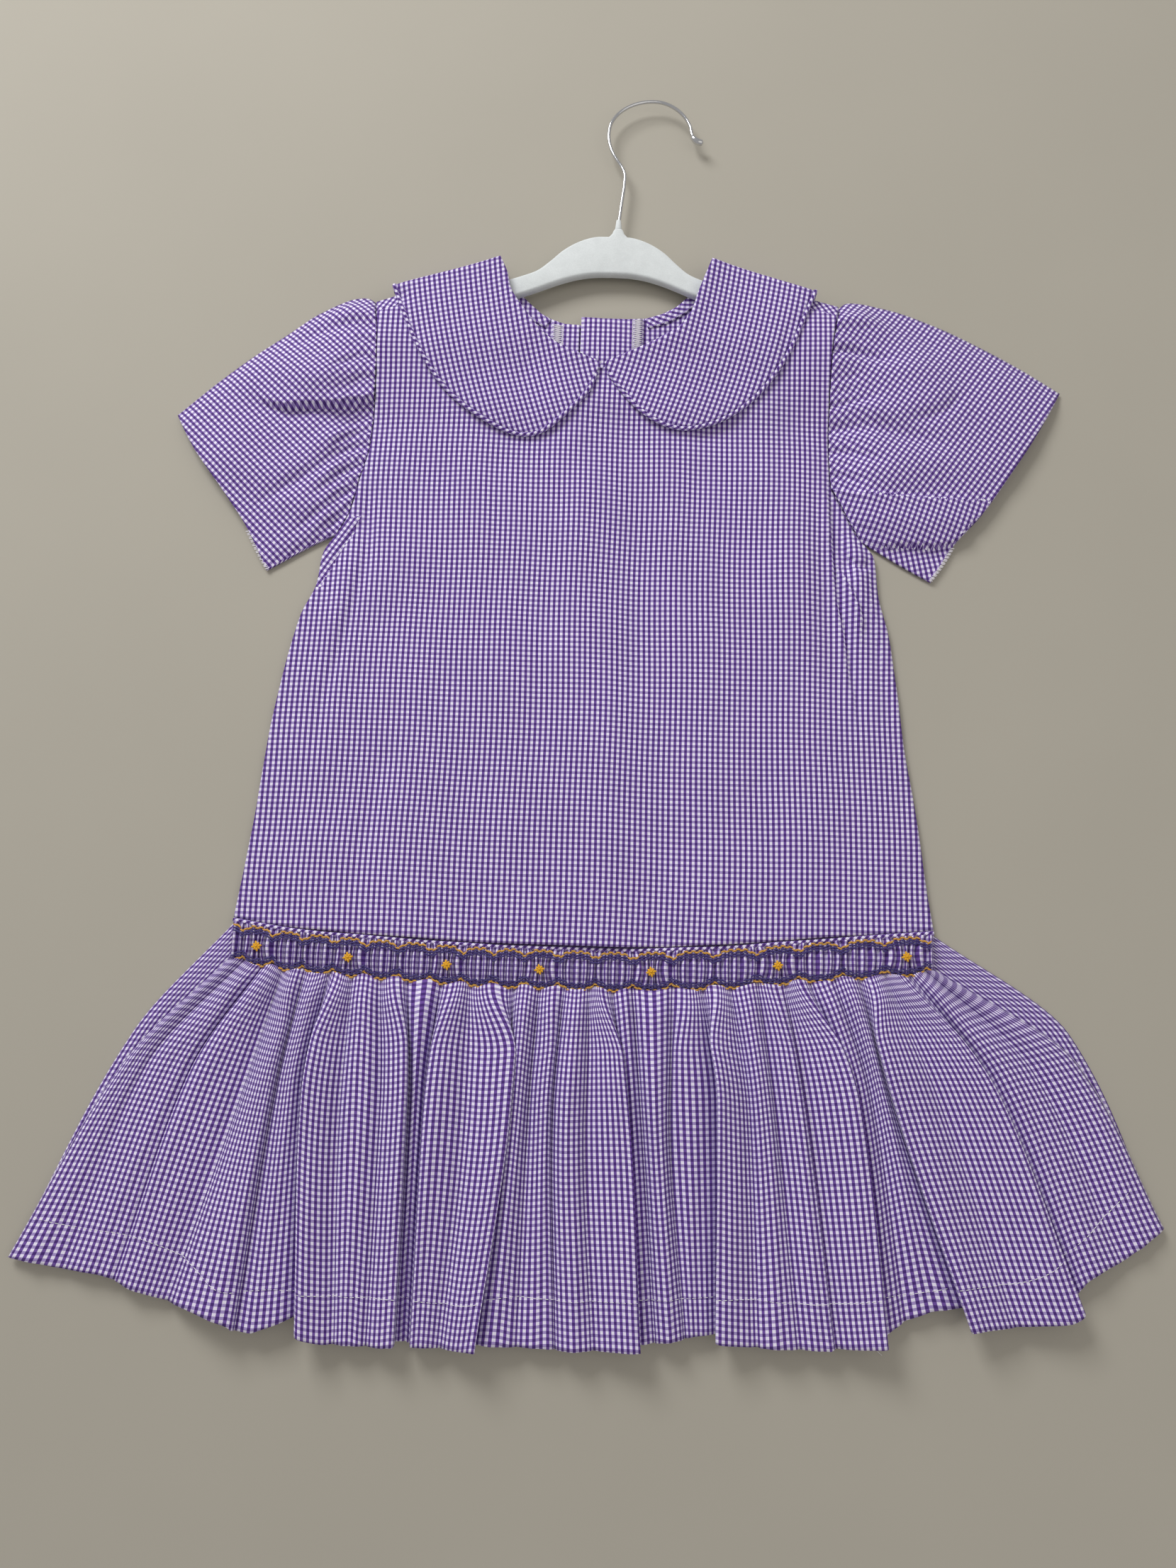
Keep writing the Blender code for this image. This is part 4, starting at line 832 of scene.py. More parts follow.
def along(line, pitch, share, height, lift):
    """Stitches of a straight seam laid along a plan line, on the height lookup."""
    points = path(line, max(int(line_length(line) / pitch), 2) + 1)
    made = []
    for a, b in zip(points, points[1:]):
        c = a + share * (b - a)
        za, zc = height(*a), height(*c)
        if za is None or zc is None or abs(za - zc) > 1.2 * pitch:
            continue
        made.append(((a[0], a[1], za + lift), (c[0], c[1], zc + lift)))
    return made


def overlock(line, width, pitch, height, lift):
    """Zigzag of an overlocked edge: loops across the edge and a run along its inner side."""
    line = path(line, max(int(line_length(line) / pitch), 3))
    inner = inset(line, width)
    made = []
    for k in range(len(line) - 1):
        for a, b in ((line[k], inner[k]), (inner[k], line[k + 1]), (inner[k], inner[k + 1])):
            za, zb = height(*a), height(*b)
            if za is not None and zb is not None:
                made.append(((a[0], a[1], za + lift), (b[0], b[1], zb + lift)))
    return made


def panel(left, right, top, rows, cols, edge=6.0):
    """Plan grid of a bodice panel between two edge rules, from the waist seam to the top edge."""
    shares = np.linspace(0, 1, cols)
    grid = np.zeros((rows, cols, 2))
    for j, share in enumerate(shares):
        def column(y):
            return left(y) + share * (right(y) - left(y))

        low_y = float(ease(WAIST, column(-160.0))) + SEAM_DROP
        high_y = float(np.interp(column(228.5), *zip(*top)))
        most = np.linspace(low_y, high_y - edge, rows - 3)
        y = np.concatenate([most, np.linspace(high_y - edge, high_y, 4)[1:]])
        grid[:, j, 0], grid[:, j, 1] = column(y), y
    return grid


def upright(x):
    """Edge rule that stays at one x."""
    return lambda y: x + 0.0 * np.asarray(y, float)


class DRESS_OT_bodice(bpy.types.Operator):
    """Front, back halves and turned facings of the bodice"""

    bl_idname = "dress.bodice"
    bl_label = "Bodice"

    def execute(self, context):
        plan = panel(lambda y: ease(LEFT_SIDE, y), lambda y: ease(RIGHT_SIDE, y), FRONT_TOP, *FRONT_GRID)
        x, y = plan[..., 0], plan[..., 1]
        z = blur(solid_top("bodice_front")(x, y), 16) + ripple(x, y) * step(-160, -140, y)
        hold = np.maximum(step(0, 12, x - ease(LEFT_SIDE, y)) * step(0, 8, ease(RIGHT_SIDE, y) - x), 0.15)
        sway = 0.5 * np.sin(y / 47 + x / 90) + 0.35 * np.sin(y / 19 - x / 60)
        cloth = np.dstack([x + sway, y + 0.5 * np.sin(x / 53) + 0.3 * np.sin(x / 21 + y / 70)])
        flat_z = z
        z = creased(plan, z, FRONT_CREASES, FRONT_BUMPS, hold)
        z = np.maximum(z, np.minimum(flat_z, FRONT_LOWEST))
        seam_y = np.interp(x, *zip(*(FRONT_TOP[:3] + FRONT_TOP[-3:])))
        yoke = (seam_y - y < YOKE_DEPTH) & (np.abs(x) > YOKE_FROM)
        z = z - 0.7 * np.exp(-((seam_y - YOKE_DEPTH - y) / 0.9) ** 2) * (np.abs(x) > YOKE_FROM)
        line_x, line_y, slope = UNDERARM_LINE
        past = (x < line_x - (line_y - y) * slope) & (y < UNDERARM_SPAN[1]) & (y > UNDERARM_SPAN[0])
        patches = [(yoke & (x < 0), turned(plan, YOKE_TURN)), (yoke & (x > 0), turned(plan, -YOKE_TURN)),
                   (past, turned(plan, UNDERARM_TURN))]
        cloth_sheet("bodice_front_cloth", np.dstack([plan, z]), cloth, sizes().cloth, ["bodice_front"],
                    patches=patches)
        halves = {
            "left": (lambda y: ease(LEFT_SIDE, y), upright(LAP_RIGHT), FRONT_TOP[:2] + BACK_LEFT_NECK),
            "right": (upright(LAP_LEFT), lambda y: ease(RIGHT_SIDE, y), BACK_RIGHT_NECK + FRONT_TOP[-2:]),
        }
        for side, (left, right, top) in halves.items():
            plan = panel(left, right, top, *BACK_GRID)
            x, y = plan[..., 0], plan[..., 1]
            z = blur(solid_top("bodice_back_" + side)(x, y), 6)
            cloth_sheet("bodice_back_%s_cloth" % side, np.dstack([plan, z]), np.dstack([x + 1.1, y + 0.8]),
                        sizes().cloth, ["bodice_back_" + side])
        spans = {
            "left": (-33.0, LAP_LEFT - 1.0, BACK_LEFT_NECK, (0.018, 0.044)),
            "right": (LAP_LEFT + 1.0, 25.0, BACK_RIGHT_NECK, (0.039, 0.048)),
        }
        low_y = 176
        for side, (start, end, neck, cut) in spans.items():
            xs = np.linspace(start, end, 16)
            tops = np.interp(xs, *zip(*neck)) - 0.6
            plan = np.array([[(px, low_y + t * (py - low_y)) for px, py in zip(xs, tops)]
                             for t in np.linspace(0, 1, 24)])
            z = blur(solid_top("facing_" + side)(plan[..., 0], plan[..., 1]), 4)
            cloth_sheet("facing_%s_cloth" % side, np.dstack([plan, z]), plan + (0.6, 1.2), sizes().cloth,
                        ["facing_" + side])
        return {"FINISHED"}


class DRESS_OT_neck_strips(bpy.types.Operator):
    """Bias strips that finish the back neck inside the collar"""

    bl_idname = "dress.neck_strips"
    bl_label = "Back neck strips"

    def execute(self, context):
        backs = [bpy.data.objects["bodice_back_%s_cloth" % side] for side in ("left", "right")]
        on_back = piece_top(*backs)
        lines = {
            "left": [(-64, 250.5), (-51, 236.6), (-40, 226.2), (-33.6, 222.4)],
            "right": [(25.6, 224.8), (36, 228.2), (45, 233.6), (64, 253.5)],
        }
        for side, line in lines.items():
            edge = path(line, 40)
            points = np.zeros((6, 40, 3))
            cloth = np.zeros((6, 40, 2))
            long = np.concatenate([[0.0], np.cumsum(np.linalg.norm(np.diff(edge, axis=0), axis=1))])
            for i, away in enumerate(np.linspace(0.2, 7.2, 6)):
                row = inset(edge, -away)
                for j, (px, py) in enumerate(row):
                    found = on_back(px, py)
                    points[i, j] = (px, py, (found if found is not None else 4.0) + 0.75)
                    cloth[i, j] = (away, long[j])
            points[..., 2] = blur(points[..., 2], 3)
            strip = cloth_sheet("back_neck_bias_" + side, points, turned(cloth, 45), 0.4)
            on_strip = piece_top(strip)
            seam = along(inset(edge, -6.2)[1:-1], 2.6, 0.7, on_strip, 0.1)
            thread = floss("polyester_sewing_thread", colours().thread)
            lay_stitches("back_neck_seam_" + side, seam, 0.16, thread)
        return {"FINISHED"}


class DRESS_OT_collar(bpy.types.Operator):
    """Both halves of the round collar with their bias piping"""

    bl_idname = "dress.collar"
    bl_label = "Collar"

    def execute(self, context):
        thick, radius = sizes().collar, sizes().piping
        on_front = piece_top(bpy.data.objects["bodice_front_cloth"])
        for side, turn in (("left", -1.0), ("right", 1.0)):
            def grain(places):
                flat = turned(places, -COLLAR_GRAIN[side])
                bend = turn * COLLAR_GRAIN_BEND / 2 * np.clip(places[..., 1] - 200, -70, 70) ** 2
                return np.stack([flat[..., 0] + bend, flat[..., 1]], axis=-1)

            inner = path(COLLAR_NECK[side], COLLAR_ROWS)
            outer = inset(path(COLLAR_RIM[side], COLLAR_ROWS), turn * COLLAR_EDGE)
            across = np.linspace(0, 1, COLLAR_COLUMNS)[None, :, None]
            plan = inner[:, None] + across * (outer - inner)[:, None]
            x, y = plan[..., 0], plan[..., 1]
            z = blur(solid_top("collar_" + side)(x, y), 14) + 0.5 * ripple(x + 40, y)
            under = np.array([[on_front(*place) or 0.0 for place in row] for row in plan])
            z = np.maximum(z, blur(under, 2) + thick + 0.4)
            # The edge is pulled down into the piping's seam
            z = z - 0.35 * step(0.88, 0.99, across[..., 0])
            rows = list(np.dstack([plan, z]))
            flat = list(grain(plan))
            shoulder, shoulder_plan = rows[-1], plan[-1]
            run = shoulder[-1, :2] - shoulder[0, :2]
            out = turn * np.array([-run[1], run[0]]) / np.linalg.norm(run)
            tall = float(shoulder[:, 2].mean())
            for angle in np.linspace(0, math.pi, COLLAR_FOLD_ROWS + 1)[1:]:
                bent = shoulder[:, :2] + out * COLLAR_FOLD_OUT * math.sin(angle)
                rows.append(np.column_stack([bent, shoulder[:, 2] * (1 + math.cos(angle)) / 2]))
                flat.append(grain(shoulder_plan + out * tall * angle / 2))
            flip = np.array([-turn, 1.0])
            back_inner = path(COLLAR_BACK_NECK, COLLAR_BACK_ROWS) * flip
            back_outer = path(COLLAR_BACK_RIM, COLLAR_BACK_ROWS) * flip
            for a, b in zip(back_inner, back_outer):
                row = a + across[0] * (b - a)
                rows.append(np.column_stack([row, np.zeros(len(row))]))
                past = (shoulder_plan - row) @ out
                flat.append(grain(row + 2 * past[:, None] * out + out * tall * math.pi / 2))
            grid, cloth = np.array(rows), np.array(flat)
            if side == "left":
                grid, cloth = grid[:, ::-1], cloth[:, ::-1]
            cloth_sheet("collar_%s_cloth" % side, grid, cloth, thick, ["collar_" + side])
            rim = grid[:, 0] if side == "left" else grid[:, -1]
            near = grid[:, 3] if side == "left" else grid[:, -4]
            away = rim - near
            away /= np.linalg.norm(away, axis=1)[:, None]
            sunk = np.ones(len(rim))
            turning = COLLAR_ROWS + COLLAR_FOLD_ROWS
            sunk[COLLAR_ROWS:turning] = np.linspace(1, 0.6, COLLAR_FOLD_ROWS)
            sunk[turning:] = -1.0
            centre = rim + away * radius * 0.92
            centre[:, 2] = centre[:, 2] - sunk * thick * 0.45
            front = centre[:COLLAR_ROWS + 2]
            for row in front:
                row[2] = max(row[2], (on_front(row[0], row[1]) or 0.0) + 0.8 * radius)
            front[:, 2] = blur(front[:, 2:3], 6)[:, 0]
            line = path(centre[::3], 260)
            line[:, 2] = np.maximum(line[:, 2], radius)
            tube("collar_piping_%s_bias" % side, line, radius, ["collar_piping_" + side],
                 gingham("bias_cut_gingham_over_cord"))
        return {"FINISHED"}


class DRESS_OT_sleeves(bpy.types.Operator):
    """Both short puff sleeves"""

    bl_idname = "dress.sleeves"
    bl_label = "Sleeves"

    def execute(self, context):
        for side, tables in SLEEVES.items():
            sign = -1.0 if side == "left" else 1.0
            seam = LEFT_SIDE if side == "left" else RIGHT_SIDE
            rows, cols = SLEEVE_GRID
            ys = np.linspace(tables["upper"][0][1], tables["lower"][0][1], cols)
            start = np.column_stack([ease(seam, ys) + sign * 0.6, ys])
            first = path([tuple(start[0])] + tables["upper"][1:], rows)
            last = path([tuple(start[-1])] + tables["lower"][1:], rows)
            plan = coons(start, path(tables["cuff"], cols), first, last)
            x, y = plan[..., 0], plan[..., 1]
            s = np.linspace(0, 1, rows)[:, None]
            u = np.linspace(0, 1, cols)[None, :]
            dome = 1 - np.abs(2 * u - 1) ** 4
            z = blur(solid_top("sleeve_" + side)(x, y), 10)
            gathers = np.cos(2 * math.pi * (GATHERS * u + 0.6 * np.sin(9 * u))) * (1 - step(0.0, 0.34, s))
            z = z + GATHER_HEIGHT * gathers * dome * step(0.0, 0.05, s)
            z = z + 1.3 * ripple(1.4 * x, 1.4 * y) * dome
            cloth = turned(plan, -tables["grain"])
            wave = 0.6 * gathers * dome
            cloth = cloth + np.dstack([0.4 * wave, wave])
            hold = np.maximum(1 - np.abs(2 * u - 1) ** 10, 0.1) * np.ones_like(x)
            z = creased(plan, z, SLEEVE_CREASES[side], SLEEVE_BUMPS[side], hold)
            base = solid_top("bodice_back_" + side)(start[:, 0] - sign * 3, start[:, 1]) - WALL
            base = np.clip(base, 0, None)[None, :] * (1 - step(0.0, 0.18, s))
            z = np.maximum(z, base + 1.6)
            edge = step(0.0, 0.035, np.minimum(u, 1 - u))
            z = (base + SLEEVE_EDGE / 2) * (1 - edge) + z * edge
            patches = []
            if side == "right":
                flap = y < np.interp(x, *FLAP_SEAM)
                behind = (y < np.interp(x, *BACK_FOLD)) & (x > BACK_FROM)
                patches = [(flap, turned(plan, FLAP_TURN)), (behind, turned(plan, BACK_TURN))]
            top = np.dstack([plan, z])
            shares = np.linspace(1, 0, SLEEVE_UNDER_COLUMNS + 2)[1:-1] * (cols - 1)
            low = shares.astype(int)
            rest = (shares - low)[None, :, None]
            below = top[:, low] * (1 - rest) + top[:, np.minimum(low + 1, cols - 1)] * rest
            below[..., 2] = base[:, low]
            below_cloth = cloth[:, low] * (1 - rest) + cloth[:, np.minimum(low + 1, cols - 1)] * rest
            ring = np.concatenate([top, below], axis=1)
            flat = np.concatenate([cloth, below_cloth, cloth[:, :1]], axis=1)
            wide = [(0, 0), (0, ring.shape[1] - cols)]
            patches = [(np.pad(mask, wide), np.pad(other, wide + [(0, 0)], mode="edge"))
                       for mask, other in patches]
            if side == "left":
                ring = ring[:, ::-1]
                flat = flat[:, ::-1]
            cloth_sheet("sleeve_%s_cloth" % side, ring, flat, sizes().cloth, ["sleeve_" + side], ring=True,
                        patches=patches)
        return {"FINISHED"}


def cells():
    """Smocked cells along the band: centre, left edge, right edge, and whether it holds a flowerette."""
    centres = []
    for a, b in zip(FLOWERS, FLOWERS[1:]):
        pitch = (b - a) / (CELLS_BETWEEN + 1)
        centres += [(a + k * pitch, k == 0) for k in range(CELLS_BETWEEN + 1)]
    centres.append((FLOWERS[-1], True))
    xs = [x for x, flower in centres]
    edges = [(a + b) / 2 for a, b in zip(xs, xs[1:])]
    edges = [2 * xs[0] - edges[0]] + edges + [2 * xs[-1] - edges[-1]]
    return [(x, a, b, flower) for (x, flower), a, b in zip(centres, edges, edges[1:])]


def in_cell(x):
    """How far across its cell a place along the band is, from 0 to 1 at its right edge, and the cell."""
    rows = cells()
    pitch = rows[0][2] - rows[0][1]
    if x < rows[0][1]:
        before = (rows[0][0] - pitch, rows[0][1] - pitch, rows[0][1], False)
        return 1 - (rows[0][1] - x) / pitch, before
    for row in rows:
        if x <= row[2]:
            return (x - row[1]) / (row[2] - row[1]), row
    pitch = rows[-1][2] - rows[-1][1]
    return (x - rows[-1][2]) / pitch, (rows[-1][0] + pitch, rows[-1][2], rows[-1][2] + pitch, False)


def wave_y(x, heights, sign):
    """y of a stitched wave along the band: out over a cell's middle, in at its edges."""
    share = in_cell(x)[0]
    out = min(1.0, 1.25 * math.sin(math.pi * min(max(share, 0), 1)) ** 0.9)
    return float(ease(WAIST, x)) - BAND_MIDDLE + sign * (heights[1] + out * (heights[0] - heights[1]))


def band_low(x):
    """Lower edge of the smocked band."""
    share = in_cell(x)[0]
    dip = SCALLOP * (1 - math.cos(2 * math.pi * share)) / 2
    return float(ease(WAIST, x)) - SEAM_DROP - BAND_DEPTH + SCALLOP - dip


class DRESS_OT_band(bpy.types.Operator):
    """Smocked band with its pleats"""

    bl_idname = "dress.band"
    bl_label = "Smocked band"

    def execute(self, context):
        rows, columns = BAND_GRID
        xs = np.linspace(*BAND_ENDS, columns)
        points = np.zeros((rows, len(xs), 3))
        cloth = np.zeros((rows, len(xs), 2))
        profile = [(0.0, 0.35), (0.25, 0.8), (0.5, 1.0), (0.75, 0.8), (1.0, 0.45)]
        held = cells()
        for j, x in enumerate(xs):
            share, row = in_cell(x)
            centre, flower = row[0], row[3]
            place = held.index(row) if row in held else (-1 if x < 0 else len(held))
            count = PLEATS_PER_CELL * (place + share)
            low, high = band_low(x), float(ease(WAIST, x)) - SEAM_DROP + 1.0
            ridge = (0.5 - 0.5 * math.cos(2 * math.pi * PLEATS_PER_CELL * share)) ** 0.7
            fade = max(0.0, 1 - abs(2 * share - 1) ** 4)
            for i, t in enumerate(np.linspace(0, 1, rows)):
                middle = math.sin(math.pi * t)
                pull = (-0.34 if flower else 0.12) * middle
                shifted = x + pull * (x - centre) * fade
                tall = PLEAT_HELD + (PLEAT_HEIGHT - PLEAT_HELD) * middle
                z = BAND_LOW + WALL - 0.6 + BAND_ROUND * float(ease(profile, t)) + 1.6 * tall * ridge
                y = low + t * (high - low)
                points[i, j] = (shifted, y, z)
                cloth[i, j] = (PLEAT_CLOTH * count + math.sin(2.1 * count), y)
        cloth_sheet("smocked_band_cloth", points, cloth, 0.4, ["smocked_band"])
        return {"FINISHED"}


class DRESS_OT_embroidery(bpy.types.Operator):
    """Gold and violet waves and the yellow flowerettes of the smocking"""

    bl_idname = "dress.embroidery"
    bl_label = "Smocking stitches"

    def execute(self, context):
        band = piece_top(bpy.data.objects["smocked_band_cloth"])

        def crest(x, y):
            near = [band(x + dx, y) for dx in (-1.6, -0.8, 0.0, 0.8, 1.6)]
            near = [z for z in near if z is not None]
            return max(near) if near else BAND_LOW + WALL + 1.6

        radius = sizes().floss
        rows = {"gold": [], "navy": []}
        lines = [("gold", GOLD_WAVE, sign, 0.0) for sign in (1, -1)]
        apart = (-NAVY_APART / 2, NAVY_APART / 2)
        lines += [("navy", NAVY_WAVE, sign, off) for sign in (1, -1) for off in apart]
        for kind, heights, sign, off in lines:
            xs = np.arange(-197.5, 197.0, WAVE_STITCH)
            for k, (a, b) in enumerate(zip(xs, xs[1:])):
                ya, yb = wave_y(a, heights, sign) + off, wave_y(b, heights, sign) + off
                side = 0.5 if k % 2 else -0.5
                rows[kind].append(((a - 0.2, ya + side, crest(a, ya) + 0.5 * radius),
                                   (b + 0.3, yb + side * 0.6, crest(b, yb) + 0.5 * radius)))
        colour = colours()
        lay_stitches("gold_waves", rows["gold"], radius * 1.12,
                     floss("stranded_cotton_gold", colour.gold))
        lay_stitches("violet_waves", rows["navy"], radius * 0.95,
                     floss("stranded_cotton_violet", colour.navy))
        petals = []
        for centre, _, _, flower in cells():
            if not flower:
                continue
            y = float(ease(WAIST, centre)) - BAND_MIDDLE
            z = crest(centre, y) + 0.5
            for k in range(8):
                a = 2 * math.pi * k / 8 + 0.2
                long = 2.9 if k % 2 == 0 else 2.3
                petals.append(((centre + 0.6 * math.cos(a), y + 0.6 * math.sin(a), z + 0.35),
                               (centre + long * math.cos(a), y + long * math.sin(a), z)))
            petals.append(((centre - 0.6, y, z + 0.7), (centre + 0.6, y + 0.2, z + 0.7)))
        lay_stitches("flowerettes", petals, radius * 1.35, floss("stranded_cotton_yellow", colour.yellow))
        return {"FINISHED"}


def skirt_front_grid():
    """Points of the front skirt's outer face, column by column across its folds."""
    lefts = [row[:3] for row in SKIRT_FOLDS] + [SKIRT_RIGHT_EDGE]
    t = np.linspace(0, 1, SKIRT_ROWS) ** 1.2
    columns = []
    for i, row in enumerate(SKIRT_FOLDS):
        high, lean = row[3:6], row[6]
        start, end = (np.array(lefts[k], float) for k in (i, i + 1))
        width = ease(list(zip(SKIRT_STATIONS, end)), t) - ease(list(zip(SKIRT_STATIONS, start)), t)
        tall = ease(list(zip((0.0, SEAM_RUN, *SKIRT_STATIONS[1:]), (SEAM_HEIGHT, *high))), t)
        last = i == len(SKIRT_FOLDS) - 1
        floors = []
        for k in (i, i + 1):
            beside = [SKIRT_FOLDS[m][3:6] for m in (k - 1, k) if 0 <= m < len(SKIRT_FOLDS)]
            fill = [(1 - DEEP_VALLEYS.get(k, 0.0)) * share for share in VALLEY_FILL]
            level = [share * min(row[q] for row in beside) for q, share in enumerate(fill)]
            floors.append(ease(list(zip(SKIRT_STATIONS, level)), t))
        for k in range(FOLD_STEPS + last):
            phase = k / FOLD_STEPS
            xs = start + phase * (end - start)
            bulge = max(math.sin(math.pi * phase), 0.0)
            x = ease(list(zip(SKIRT_STATIONS, xs)), t)
            x = x + LEAN_MORE * lean * width * bulge * step(0.0, LEAN_RUN, t)
            top_y = band_low(xs[0]) - 0.4
            hem_y = float(np.interp(xs[2], *zip(*HEM)))
            y = top_y + t * (hem_y - top_y)
            floor = floors[0] + phase * (floors[1] - floors[0])
            crest = np.maximum(tall * (1 + (FOLD_TALLER - 1) * step(0.05, 0.3, t)), floor)
            z = FLAT_LEVEL + 0.2 + floor + (crest - floor) * bulge**FOLD_ROUND
            small = 0.5 * np.sin(2 * math.pi * (2.2 * phase + 1.3 * t + 0.37 * i)) * bulge
            columns.append(np.column_stack([x, y, z + small * step(0.05, 0.4, t)]))
    return np.stack(columns, axis=1)


class DRESS_OT_skirt(bpy.types.Operator):
    """Gathered front skirt and the back skirt under it"""

    bl_idname = "dress.skirt"
    bl_label = "Skirt"

    def execute(self, context):
        grid = skirt_front_grid()
        across = np.linalg.norm(np.diff(grid, axis=1), axis=2)
        u = np.concatenate([[0.0], np.cumsum(across[SKIRT_ROWS // 2:].mean(axis=0))])
        down = np.linalg.norm(np.diff(grid[:, :, 1:], axis=0), axis=2)
        v = np.concatenate([np.zeros((1, grid.shape[1])), np.cumsum(down, axis=0)])
        v = v[-1].max() - v - (v[-1].max() - v[-1])[None, :] * 0.35
        cloth = np.dstack([np.broadcast_to(u, v.shape), v])
        front = cloth_sheet("skirt_front_cloth", grid, cloth, sizes().cloth, ["skirt_front"])
        left = np.array([x + 2.0 for x in SKIRT_FOLDS[0][:3]])
        right = np.array([x - 2.0 for x in SKIRT_RIGHT_EDGE])
        rows, count = SKIRT_BACK_GRID
        t = np.linspace(0, 1, rows)
        columns = []
        for share in np.linspace(0, 1, count):
            xs = left + share * (right - left)
            top_y = float(ease(WAIST, xs[0])) - 0.3
            hem_y = float(np.interp(xs[2], *zip(*HEM))) + 4.0
            x = ease(list(zip(SKIRT_STATIONS, xs)), t)
            columns.append(np.column_stack([x, top_y + t * (hem_y - top_y), np.full(len(t), 0.8)]))
        grid = np.stack(columns, axis=1)
        grid[..., 2] += 0.25 * np.abs(np.sin(grid[..., 0] / 9.0)) * step(0, 0.2, t)[:, None]
        cloth = np.dstack([np.broadcast_to(np.linspace(0, 700, count), grid.shape[:2]), grid[..., 1]])
        cloth_sheet("skirt_back_cloth", grid, cloth, sizes().cloth, ["skirt_back"])
        on_skirt = piece_top(front)
        seam = along(HEM_STITCH, sizes().stitch, 0.72, on_skirt, 0.1)
        thread = floss("polyester_sewing_thread", colours().thread)
        lay_stitches("hem_stitching", seam, sizes().thread, thread)
        return {"FINISHED"}


class DRESS_OT_waist_piping(bpy.types.Operator):
    """Bias-covered cord in the waist seam"""

    bl_idname = "dress.waist_piping"
    bl_label = "Waist piping"

    def execute(self, context):
        low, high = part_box("waist_piping")
        middle = (low.z + high.z) / 2 / MM
        xs = np.linspace(*BAND_ENDS, 300)
        line = np.column_stack([xs, ease(WAIST, xs), np.full(len(xs), middle)])
        tube("waist_piping_bias", line, sizes().piping, ["waist_piping"],
             gingham("bias_cut_gingham_over_cord"))
        return {"FINISHED"}


class DRESS_OT_overlock(bpy.types.Operator):
    """Overlocked edges that show inside the neck and the sleeves, and loose thread ends"""

    bl_idname = "dress.overlock"
    bl_label = "Overlocked edges"

    def execute(self, context):
        thread = floss("polyester_sewing_thread", colours().thread)
        facings = piece_top(*[bpy.data.objects["facing_%s_cloth" % side] for side in ("left", "right")])
        neck = overlock([(-32.4, 186), (-32.4, 218.5)], -6.5, 1.3, facings, 0.15)
        neck += overlock([(24.4, 190), (24.4, 223.8)], 6.5, 1.3, facings, 0.15)
        lay_stitches("facing_overlock", neck, 0.3, thread)
        cuffs = {
            "left": [(-213, 74), (-206, 61), (-199.5, 50.5)],
            "right": [(216, 77), (209, 65), (202.6, 56)],
        }
        for side, line in cuffs.items():
            sign = 1.0 if side == "right" else -1.0
            loops = []
            for k, (px, py) in enumerate(path(line, 22)):
                z = 1.8 if k % 2 else 2.7
                loops.append(((px - sign * 1.6, py, 2.2), (px + sign * 0.9, py - 0.4, z)))
            lay_stitches("sleeve_overlock_" + side, loops, 0.45, thread)
        line = path([(159, -371, 8.0), (160, -374, 4.0), (162, -377, 1.0), (165, -379.5, 0.4)], 16)
        tube("loose_thread_hem", line, 0.15, (), thread, sides=5)
        line = path([(-3.4, 189, 13.2), (-3.0, 193, 14.2), (-3.0, 197.5, 12.0)], 12)
        tube("loose_thread_neck", line, 0.18, (), thread, sides=5)
        return {"FINISHED"}


